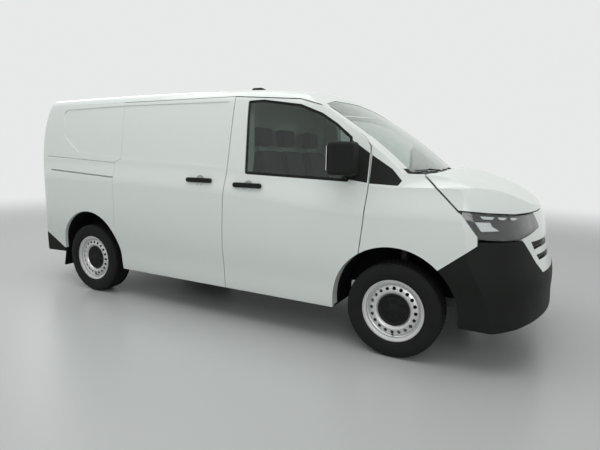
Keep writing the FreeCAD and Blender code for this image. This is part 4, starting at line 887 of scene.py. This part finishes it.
@dataclass
class IntakeSlots:
    """The black linings of the two intake slots in the white panel between the headlamps."""

    outlines: tuple[Outline, ...] = (
        ((-0.672, 0.866), (-0.640, 0.812), (-0.560, 0.818), (0.560, 0.818), (0.640, 0.812), (0.672, 0.866)),
        ((-0.618, 0.776), (-0.584, 0.738), (0.584, 0.738), (0.618, 0.776)),
    )
    spacing: float = 0.03
    clear: float = 0.0002
    wall: float = 0.0012
    side_share: float = 0.6
    front: float = 0.0015
    back: float = 0.026
    face_reach: float = 0.006

    def build(self) -> None:
        """Builds one lining a slot, which follows the panel's face."""
        face = Skin("grille")
        form = Form()
        section = ((self.clear, self.front), (self.wall, self.front), (self.wall, self.back),
                   (self.clear, self.back))
        for outline in self.outlines:
            ring = self._spread(outline)
            middle = sum(ring, Vector((0.0, 0.0))) / len(ring)
            rows = [[self._lined(face, place, place - middle, inset, depth) for place in ring]
                    for inset, depth in section]
            form.belt([row + row[:1] for row in rows])
        form.piece("intake_linings", GLOSS_BLACK, "body", "black_plastic")

    def _lined(self, face: Skin, place: Vector, outward: Vector, inset: float, depth: float) -> Vector:
        """A corner of a lining.

        Args:
            face: The panel's surface.
            place: The slot's outline at this corner, as y and z.
            outward: The way out of the slot.
            inset: How far inside the outline the corner lies.
            depth: How far behind the panel's face it lies.

        Returns:
            The corner.
        """
        met = face.nose(place.x + math.copysign(self.face_reach, outward.x),
                        place.y + math.copysign(self.face_reach, outward.y))
        return Vector((met.x - depth, place.x - math.copysign(inset, outward.x) * self.side_share,
                       place.y - math.copysign(inset, outward.y)))

    def _spread(self, outline: Outline) -> list[Vector]:
        """Puts points at even spacings round an outline.

        Args:
            outline: The outline's corners.

        Returns:
            The points.
        """
        run: list[Vector] = []
        corners = [Vector(corner) for corner in outline]
        for start, end in zip(corners, corners[1:] + corners[:1]):
            count = max(1, round((end - start).length / self.spacing))
            run += [start.lerp(end, step / count) for step in range(count)]
        return run


@dataclass
class ArchShields:
    """The lower rear walls of the front wheel houses, which close the arches behind the tyres."""

    centre: Span = (1.545, 0.350)
    radius: float = 0.452
    across: Span = (0.57, 0.955)
    heights: tuple[float, ...] = (0.285, 0.310, 0.340, 0.370, 0.401)
    thickness: float = 0.003

    def build(self) -> None:
        """Builds one curved sheet on each side."""
        section = self._arc(self.radius) + self._arc(self.radius - self.thickness)[::-1]
        for side, sign in SIDES:
            form = Form().sheet([[Vector((x, sign * y, z)) for y in self.across] for x, z in section])
            form.piece(f"arch_shield_{side}", LINER, "body", "liner")

    def _arc(self, radius: float) -> list[Span]:
        """The x and z of one face, at each height."""
        x, middle = self.centre
        return [(x - math.sqrt(radius ** 2 - (z - middle) ** 2), z) for z in self.heights]


@dataclass
class LeafScreen:
    """The grilled trough between the windscreen's foot and the dark panel before it."""

    half: float = 0.74
    stations: int = 41
    glass_heights: Span = (1.274, 1.301)
    on_glass: Point = (0.0015, 0.0, -0.004)
    on_panel: Point = (0.0, 0.0, -0.001)
    scan_from: float = 1.79
    scan_to: float = 1.60
    scan: float = 0.002
    scan_height: float = 2.0
    plain_edge: Span = (1.74, 1.29)
    dip_at: float = 0.35
    dip: float = 0.010
    depth: float = 0.008
    rib_back: Point = (0.004, 0.0, -0.002)
    rib_front: Point = (-0.002, 0.0, -0.002)
    rib_radius: float = 0.0022

    def build(self) -> None:
        """Builds the trough as one closed strip across the van, with its cross ribs."""
        glass, panel = Skin("windscreen"), Skin("cowl")
        back, front = [], []
        low, high = self.glass_heights
        for index in range(self.stations):
            y = self.half * (2.0 * index / (self.stations - 1) - 1.0)
            height = low + (high - low) * (y / self.half) ** 2
            back.append(glass.nose(y, height) + Vector(self.on_glass))
            front.append(self._rear_edge(panel, y) + Vector(self.on_panel))
        dip, under = Vector((0.0, 0.0, self.dip)), Vector((0.0, 0.0, -self.depth))
        middle = [start.lerp(end, self.dip_at) - dip for start, end in zip(back, front)]
        over = [back, middle, front]
        strip = Form().sheet(over + [[point + under for point in row] for row in reversed(over)])
        for start, end in list(zip(back, front))[1:-1]:
            strip.tube([start + Vector(self.rib_back), end + Vector(self.rib_front)], self.rib_radius,
                       sides=6)
        strip.piece("leaf_screen", BLACK, "body", "black_plastic")

    def _rear_edge(self, panel: Skin, y: float) -> Vector:
        """The rear upper edge of the dark panel before the trough.

        Args:
            panel: The panel's surface.
            y: The place across the van.

        Returns:
            The edge's point there.
        """
        edge: Vector | None = None
        for step in range(int((self.scan_from - self.scan_to) / self.scan)):
            start = Vector((self.scan_from - self.scan * step, y, self.scan_height))
            met = panel.tree.ray_cast(start, Vector((0.0, 0.0, -1.0)))[0]
            if met is None and edge is not None:
                return edge
            edge = met if met is not None else edge
        return edge if edge is not None else Vector((self.plain_edge[0], y, self.plain_edge[1]))


@dataclass
class Wipers:
    """The two windscreen wipers.

    Offsets are from a point of the windscreen: the arm's lower and upper end, its bend and its tip.
    """

    pivots: tuple[float, ...] = (0.56, -0.10)
    reach: float = 0.36
    bend_at: float = 0.3
    blade: float = 0.54
    blade_height: float = 1.302
    blade_bow: float = 0.010
    bend_height: float = 1.290
    foot_height: float = 1.295
    foot: Point = (0.042, 0.0, -0.012)
    foot_span: Span = (-0.02, 0.010)
    foot_radii: Span = (0.014, 0.011)
    arm_rise: Point = (0.0, 0.0, 0.006)
    bend_rise: Point = (0.010, 0.0, 0.008)
    tip_rise: Point = (0.011, 0.0, 0.012)
    blade_rise: Point = (0.007, 0.0, 0.007)
    arm_radius: float = 0.0055
    blade_radius: float = 0.0048

    def build(self) -> None:
        """Lays each arm and blade along the foot of the windscreen."""
        glass = Skin("windscreen")
        for index, pivot in enumerate(self.pivots):
            start = glass.nose(pivot, self.foot_height) + Vector(self.foot)
            bend = glass.nose(pivot - self.reach * self.bend_at, self.bend_height)
            tip = glass.nose(pivot - self.reach, self.blade_height)
            low, high = (start + Vector((0.0, 0.0, level)) for level in self.foot_span)
            arm = Form().rod(low, high, self.foot_radii[0], sides=18, tip=self.foot_radii[1])
            arm.tube([start + Vector(self.arm_rise), bend + Vector(self.bend_rise),
                      tip + Vector(self.tip_rise)], self.arm_radius, sides=8)
            run = [glass.nose(pivot - self.reach + self.blade * share,
                              self.blade_height - self.blade_bow * abs(share)) + Vector(self.blade_rise)
                   for share in (-0.5, -0.25, 0.0, 0.25, 0.5)]
            blade = Form().tube(run, self.blade_radius, sides=8)
            arm.piece(f"wiper_arm_{index}", BLACK, "body", "black_plastic")
            blade.piece(f"wiper_blade_{index}", SEAL, "body", "black_plastic")


def bell(off: float, width: float) -> float:
    """A smooth hump: 1 in its middle, and near 0 two widths away."""
    return math.exp(-(off / width) ** 2)


@dataclass
class Seat:
    """One seat or bench: plinth, stitched cushion and back, and head rests.

    A block is its rear and front x, its inset from the seat's sides, its heights and the round of its edges.
    The side bolsters are their place and width, as shares of the half width, and their share of the crown.
    The seam across a pad is its place and width, as shares of the half length.
    """

    node: str
    places: int
    low: float
    high: float
    cushion_seams: tuple[float, ...]
    blocks: tuple[tuple[Span, float, Span, float], ...] = (
        ((0.34, 0.75), 0.06, (0.4703, 0.765), 0.02), ((0.30, 0.79), 0.02, (0.745, 0.785), 0.015))
    cushion_at: Span = (0.556, 0.822)
    cushion_size: Span = (0.52, 0.105)
    cushion_tilt: float = -0.05
    cushion_crown: float = 0.014
    cushion_gap: float = 0.006
    back_at: Span = (0.262, 1.130)
    back_size: Span = (0.62, 0.115)
    back_lean: float = math.atan2(0.115, 0.60)
    back_crown: float = 0.015
    back_gap: float = 0.012
    back_seams: Span = (-0.62, 0.62)
    rest_at: Span = (0.172, 1.552)
    rest_size: Point = (0.165, 0.25, 0.085)
    rest_lean: float = 0.12
    rest_crown: float = 0.010
    posts: Span = (-0.055, 0.055)
    post_foot: Span = (0.196, 1.36)
    post_head: Span = (0.180, 1.53)
    post_radius: float = 0.006
    cuts: int = 23
    fill: float = 0.7
    soft_edge: float = math.radians(60.0)
    corner_round: float = 0.10
    side_tuck: float = 0.035
    end_tuck: float = 0.02
    under_share: float = 0.15
    bolster: Point = (0.80, 0.13, 0.35)
    seam_width: float = 0.022
    seam_depth: float = 0.011
    cross_seam: Span = (-0.45, 0.024)
    cross_half: float = 0.66

    def build(self) -> None:
        """Builds the seat in place of its node."""
        base = Form()
        for (rear, front), inset, (foot, top), round_by in self.blocks:
            base.block((rear, self.low + inset, foot), (front, self.high - inset, top), round_by)
        shell = base.piece(f"{self.node}_base", INNER, "body", "trim_grey")
        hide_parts(self.node)
        length, thickness = self.cushion_size
        spans = Vector((length, self.high - self.low - self.cushion_gap, thickness))
        place = Matrix.Translation((self.cushion_at[0], (self.low + self.high) / 2, self.cushion_at[1]))
        place = place @ Matrix.Rotation(self.cushion_tilt, 4, "Y")
        self._pad(f"{self.node}_cushion", spans, place, self.cushion_crown, self.cushion_seams)
        width = (self.high - self.low) / self.places
        for index in range(self.places):
            centre = self.low + width * (index + 0.5)
            length, thickness = self.back_size
            self._pad(f"{self.node}_back_{index}", Vector((length, width - self.back_gap, thickness)),
                      self._upright(self.back_at, centre, self.back_lean), self.back_crown, self.back_seams)
            self._rest(index, centre)

    @staticmethod
    def _upright(at: Span, centre: float, lean: float) -> Matrix:
        """Where a standing pad goes, with its crowned side to the front.

        Args:
            at: The x and z of its middle.
            centre: The y of its middle.
            lean: How far it leans back, in radians.

        Returns:
            The matrix that places it.
        """
        place = Matrix.Translation((at[0], centre, at[1])) @ Matrix.Rotation(math.pi / 2 - lean, 4, "Y")
        return place @ Matrix.Rotation(math.pi, 4, "Z")

    def _rest(self, index: int, centre: float) -> None:
        """Builds a head rest on its two steel posts.

        Args:
            index: The place that it belongs to.
            centre: The y of its middle.
        """
        self._pad(f"{self.node}_head_rest_{index}", Vector(self.rest_size),
                  self._upright(self.rest_at, centre, self.rest_lean), self.rest_crown, ())
        posts = Form()
        for side in self.posts:
            foot, head = ((x, centre + side, z) for x, z in (self.post_foot, self.post_head))
            posts.rod(foot, head, self.post_radius, sides=12)
        posts.piece(f"{self.node}_rest_posts_{index}", BRIGHT, "body", "steel_dark")

    def _pad(self, name: str, spans: Vector, place: Matrix, crown: float, seams: Sequence[float]) -> None:
        """Builds one crowned pad with sewn channels across its width.

        Args:
            name: The piece's name.
            spans: Its length, width and thickness; the crowned side is +Z.
            place: Where it goes.
            crown: How far its middle rises.
            seams: Where channels run, from -1 to 1 of its half width.
        """
        form = bmesh.new()
        bmesh.ops.create_cube(form, size=2.0)
        bmesh.ops.subdivide_edges(form, edges=form.edges, cuts=self.cuts, use_grid_fill=True)
        for corner in form.verts:
            corner.co = self._sewn(corner.co, spans, crown, seams)
        bmesh.ops.transform(form, matrix=place, verts=form.verts)
        recalc(form)
        made = make_piece(form, name, CLOTH, "body", self.soft_edge)

    def _sewn(self, at: Vector, spans: Vector, crown: float, seams: Sequence[float]) -> Vector:
        """Where a point of the pad's cube goes: crowned, tucked at the sides, with bolsters and channels.

        Args:
            at: The point, from -1 to 1 each way.
            spans: The pad's length, width and thickness.
            crown: How far its middle rises.
            seams: Where channels run.

        Returns:
            The point on the pad.
        """
        u, v, w = at
        corner = abs(u) ** 8 * abs(v) ** 8 + abs(w) ** 6 * (abs(u) ** 10 + abs(v) ** 10)
        round_off = 1.0 - self.corner_round * corner
        tuck = (1.0 - self.side_tuck * (1.0 - abs(u) ** 4) * abs(v) ** 6
                - self.end_tuck * (1.0 - abs(v) ** 4) * abs(u) ** 6)
        rise = crown * (1.0 - u ** 4) * (1.0 - v ** 4) * (1.0 if w > 0 else self.under_share)
        place, width, share = self.bolster
        bolster = share * crown * bell(abs(v) - place, width)
        groove = sum(bell(v - seam, self.seam_width) for seam in seams)
        across, thin = self.cross_seam
        cross = bell(u - across, thin) * (abs(v) < self.cross_half)
        sink = self.seam_depth * max(groove, cross) if w > 0 else 0.0
        height = w * spans.z / 2 + math.copysign(rise, w) + (bolster - sink if w > 0.5 else 0.0)
        return Vector((u * spans.x / 2 * round_off * tuck, v * spans.y / 2 * round_off * tuck,
                       height * round_off))


@dataclass
class Cab:
    """Fittings of the dashboard and the floor in front of the seats.

    A rod is its ends, its radius at the first end, its number of flat sides and its radius at the other end.
    """

    hood: tuple[Block, ...] = (
        ((1.16, 0.24, 1.255), (1.40, 0.62, 1.300), 0.018), ((1.15, -0.20, 1.245), (1.20, 0.12, 1.300), 0.012))
    screen: Block = ((1.146, -0.17, 1.254), (1.151, 0.09, 1.292), 0.002)
    vent_places: tuple[float, ...] = (-0.70, -0.30, 0.20, 0.70)
    vent_ends: Span = (1.128, 1.112)
    vent_height: float = 1.205
    vent_radii: Span = (0.042, 0.038)
    rungs: tuple[int, ...] = (-2, -1, 0, 1, 2)
    rung_pitch: float = 0.013
    rung_ends: Span = (1.108, 1.114)
    rung_half: Span = (0.032, 0.002)
    lever_rod: tuple[Point, Point, float, int] = ((1.10, -0.02, 0.98), (1.035, 0.0, 1.085), 0.008, 14)
    lever_knob: Block = ((1.012, -0.024, 1.075), (1.052, 0.024, 1.125), 0.014)
    lever_boot: tuple[Point, Point, float, int, float] = (
        (1.135, -0.03, 0.955), (1.095, -0.015, 0.99), 0.05, 20, 0.02)
    pedal_places: tuple[float, ...] = (0.30, 0.42, 0.55)
    pedal_arm: Outline = ((1.25, 0.83), (1.20, 0.60))
    pedal_pad: Outline = ((1.175, 0.575), (1.20, 0.63))
    pedal_half: float = 0.035
    pedal_arm_radius: float = 0.008
    pedal_round: float = 0.006

    def build(self) -> None:
        """Builds the instrument hood, the screen, the vents, the gear lever and the pedals."""
        top = Form()
        for block in self.hood:
            top.block(*block)
        top.piece("instrument_hood", INNER, "body", "trim_grey")
        Form().block(*self.screen).piece("dashboard_screen", GLOSS_BLACK, "body", "black_plastic")
        self._build_vents()
        lever = Form().rod(*self.lever_rod).block(*self.lever_knob).rod(*self.lever_boot)
        lever.piece("gear_lever", BLACK, "body", "black_plastic")
        self._build_pedals()

    def _build_vents(self) -> None:
        """Builds the dashboard's round vents with their rungs."""
        vents = Form()
        inner, outer = self.vent_ends
        rear, front = self.rung_ends
        half, thin = self.rung_half
        for y in self.vent_places:
            vents.rod((inner, y, self.vent_height), (outer, y, self.vent_height), self.vent_radii[0],
                      sides=28, tip=self.vent_radii[1])
            for rung in self.rungs:
                z = self.vent_height + rung * self.rung_pitch
                vents.block((rear, y - half, z - thin), (front, y + half, z + thin))
        vents.piece("dashboard_vents", BLACK, "body", "black_plastic")

    def _build_pedals(self) -> None:
        """Builds the three pedals, each an arm and a pad."""
        pedals = Form()
        (rear, foot), (front, top) = self.pedal_pad
        for y in self.pedal_places:
            pedals.rod(*((x, y, z) for x, z in self.pedal_arm), self.pedal_arm_radius, sides=10)
            pedals.block((rear, y - self.pedal_half, foot), (front, y + self.pedal_half, top),
                         self.pedal_round)
        pedals.piece("pedals", STEEL, "body", "steel_dark")


@dataclass
class FrontDoor:
    """The small parts of a cab door: mirror glass, inner trim and handle, placed as on the left door."""

    side: str
    sign: float
    mirror: Block = ((1.102, 1.048, 1.300), (1.107, 1.146, 1.462), 0.002)
    card: tuple[Block, ...] = (
        ((0.24, 0.905, 0.62), (1.14, 0.888, 1.10), 0.008), ((0.40, 0.888, 0.93), (0.98, 0.850, 0.985), 0.018),
        ((0.46, 0.888, 0.60), (1.10, 0.866, 0.70), 0.012))
    pull: tuple[Point, ...] = ((0.86, 0.886, 1.055), (0.865, 0.870, 1.060), (0.935, 0.870, 1.060),
                               (0.94, 0.886, 1.055))
    pull_radius: float = 0.007

    def _here(self, at: Point) -> Point:
        """A point of the left door, on this door's side."""
        return at[0], at[1] * self.sign, at[2]

    def build(self) -> None:
        """Builds what rides on this door."""
        body = f"front_door_{self.side}"
        mirror, card = Form(), Form()
        for form, blocks in ((mirror, (self.mirror,)), (card, self.card)):
            for low, high, round_by in blocks:
                form.block(self._here(low), self._here(high), round_by)
        mirror.piece(f"mirror_glass_{self.side}", MIRROR, body, "steel_silver")
        card.piece(f"door_trim_panel_{self.side}", INNER, body, "trim_grey")
        pull = Form().tube([self._here(at) for at in self.pull], self.pull_radius, sides=10)
        pull.piece(f"inner_handle_{self.side}", BLACK, body, "black_plastic")


@dataclass
class Tail:
    """The small parts of the rear doors: handle, blank plate and its lamp, and high brake lamp.

    A patch is its name, finish, door, slot, its places across the van, its heights and its depth.
    """

    patches: tuple[tuple[str, Finish, str, str, Span, Span, float], ...] = (
        ("rear_handle", BLACK, "rear_door_left", "black_plastic", (0.03, 0.13), (0.985, 1.075), 0.020),
        ("blank_plate", INNER, "rear_door_right", "trim_grey", (-0.66, -0.14), (0.80, 0.92), 0.006),
        ("plate_lamp", BLACK, "rear_door_right", "black_plastic", (-0.46, -0.34), (0.935, 0.965), 0.022),
        ("high_brake_lamp", RED_LENS, "rear_door_left", "lamp_red", (0.06, 0.30), (1.775, 1.795), 0.012),
    )
    sunk: float = 0.0015

    def build(self) -> None:
        """Lays each patch on its door, so that it follows the door's outer face."""
        for name, finish, door, slot, (right, left), (foot, top), depth in self.patches:
            skin = Skin(door)
            corners = ((right, foot), (left, foot), (left, top), (right, top))
            under = [skin.tail(y, z) + Vector((self.sunk, 0.0, 0.0)) for y, z in corners]
            over = [point - Vector((depth, 0.0, 0.0)) for point in under]
            Form().slab(over, under).piece(name, finish, door, slot)


@dataclass
class Studio:
    """The pale floor, the soft light and the camera at the photograph's place.

    A lamp is its place, its two spans and its power. The camera's angles are in radians.
    """

    floor_radius: float = 40.0
    floor_sides: int = 96
    floor_color: Colour = (0.53, 0.545, 0.54)
    floor_roughness: float = 0.32
    backdrop: Colour = (0.80, 0.82, 0.81)
    fade: Span = (5.5, 13.0)
    world_level: float = 0.42
    camera_place: Point = (2.3911, -3.9281, 1.3797)
    azimuth: float = 0.4878
    pitch: float = 0.1481
    roll: float = 0.0192
    focal_px: float = 451.08
    picture_px: float = 600.0
    sensor_mm: float = 36.0
    lamps: tuple[tuple[Point, Span, float], ...] = (
        ((0.0, -1.5, 5.4), (8.0, 5.0), 190.0), ((4.5, -6.5, 3.6), (4.0, 3.0), 90.0),
        ((-6.0, 3.0, 4.0), (4.0, 3.0), 60.0))
    lamp_aim: Point = (0.0, 0.0, 0.9)

    def build_floor(self) -> None:
        """A pale floor that fades into the backdrop away from the van."""
        form = bmesh.new()
        bmesh.ops.create_circle(form, cap_ends=True, radius=self.floor_radius, segments=self.floor_sides)
        mesh = bpy.data.meshes.new("studio_floor")
        form.to_mesh(mesh)
        form.free()
        made = bpy.data.objects.new("studio_floor", mesh)
        bpy.context.scene.collection.objects.link(made)
        mesh.materials.append(self._floor_material())

    def _floor_material(self) -> bpy.types.Material:
        """The floor's material: satin grey near the van, backdrop colour far from it.

        Returns:
            The material.
        """
        made = bpy.data.materials.new("studio_floor")
        graph = Graph(made)
        shader = graph.tree.nodes["Principled BSDF"]
        graph.fill(shader, {"Base Color": (*self.floor_color, 1.0), "Roughness": self.floor_roughness})
        place = graph.add("TexCoord")
        far = graph.add("VectorMath", operation="LENGTH")
        graph.link(place.outputs["Object"], far.inputs[0])
        share = graph.add("MapRange", {"From Min": self.fade[0], "From Max": self.fade[1]},
                          interpolation_type="SMOOTHSTEP")
        graph.link(far.outputs["Value"], share.inputs["Value"])
        glow = graph.add("Emission", {"Color": (*self.backdrop, 1.0)})
        surface = graph.blend(share.outputs["Result"], shader.outputs["BSDF"], glow.outputs["Emission"])
        graph.link(surface, graph.tree.nodes["Material Output"].inputs["Surface"])
        return made

    def build_world(self) -> None:
        """An even world light, which the camera, gloss and glass see as the plain backdrop."""
        world = bpy.data.worlds.new("studio")
        bpy.context.scene.world = world
        graph = Graph(world)
        ambient = graph.tree.nodes["Background"]
        graph.fill(ambient, {"Color": (*self.backdrop, 1.0), "Strength": self.world_level})
        shown = graph.add("Background", {"Color": (*self.backdrop, 1.0)})
        rays = graph.add("LightPath").outputs
        seen = graph.larger(rays["Is Camera Ray"], rays["Is Glossy Ray"])
        seen = graph.larger(seen, rays["Is Transmission Ray"])
        surface = graph.blend(seen, ambient.outputs["Background"], shown.outputs["Background"])
        graph.link(surface, graph.tree.nodes["World Output"].inputs["Surface"])

    def build_lamps(self) -> None:
        """Large soft lamps above and beside the van."""
        for index, (place, spans, power) in enumerate(self.lamps):
            lamp = bpy.data.lights.new(f"softbox_{index}", "AREA")
            lamp.shape = "RECTANGLE"
            lamp.size, lamp.size_y = spans
            lamp.energy = power
            made = bpy.data.objects.new(lamp.name, lamp)
            made.location = place
            aim = Vector(self.lamp_aim) - Vector(place)
            made.rotation_euler = aim.to_track_quat("-Z", "Y").to_euler()
            bpy.context.scene.collection.objects.link(made)

    def build_camera(self) -> None:
        """The camera at the place that was worked out from the photograph."""
        ahead = Vector((-math.sin(self.azimuth) * math.cos(self.pitch),
                        math.cos(self.azimuth) * math.cos(self.pitch), -math.sin(self.pitch)))
        level = ahead.cross(Vector((0, 0, 1))).normalized()
        above = level.cross(ahead)
        right = level * math.cos(self.roll) + above * math.sin(self.roll)
        up = above * math.cos(self.roll) - level * math.sin(self.roll)
        turn = Matrix((right, up, -ahead)).transposed().to_4x4()
        lens = bpy.data.cameras.new("camera")
        lens.sensor_width = self.sensor_mm
        lens.lens = self.focal_px / self.picture_px * self.sensor_mm
        made = bpy.data.objects.new("camera", lens)
        made.matrix_world = Matrix.Translation(self.camera_place) @ turn
        bpy.context.scene.collection.objects.link(made)
        bpy.context.scene.camera = made

    def build(self) -> None:
        """Builds the whole studio."""
        bpy.context.scene.view_settings.view_transform = "Standard"
        self.build_floor()
        self.build_world()
        self.build_lamps()
        self.build_camera()


def main() -> None:
    """Dresses the nodes, builds each sub-assembly in turn and sets up the studio."""
    logging.basicConfig(level=logging.INFO, format="%(message)s")
    dress_nodes()
    for end in ENDS:
        for side, sign in SIDES:
            Wheel(end, side, sign).build()
    Headlamps().build()
    IntakeSlots().build()
    ArchShields().build()
    LeafScreen().build()
    Wipers().build()
    Seat("driver_seat", 1, 0.170, 0.680, (-0.62, 0.62)).build()
    Seat("passenger_bench", 2, -0.700, 0.120, (-0.80, -0.04, 0.04, 0.80)).build()
    Cab().build()
    for side, sign in SIDES:
        FrontDoor(side, sign).build()
    Tail().build()
    Studio().build()


if __name__ == "__main__":
    main()
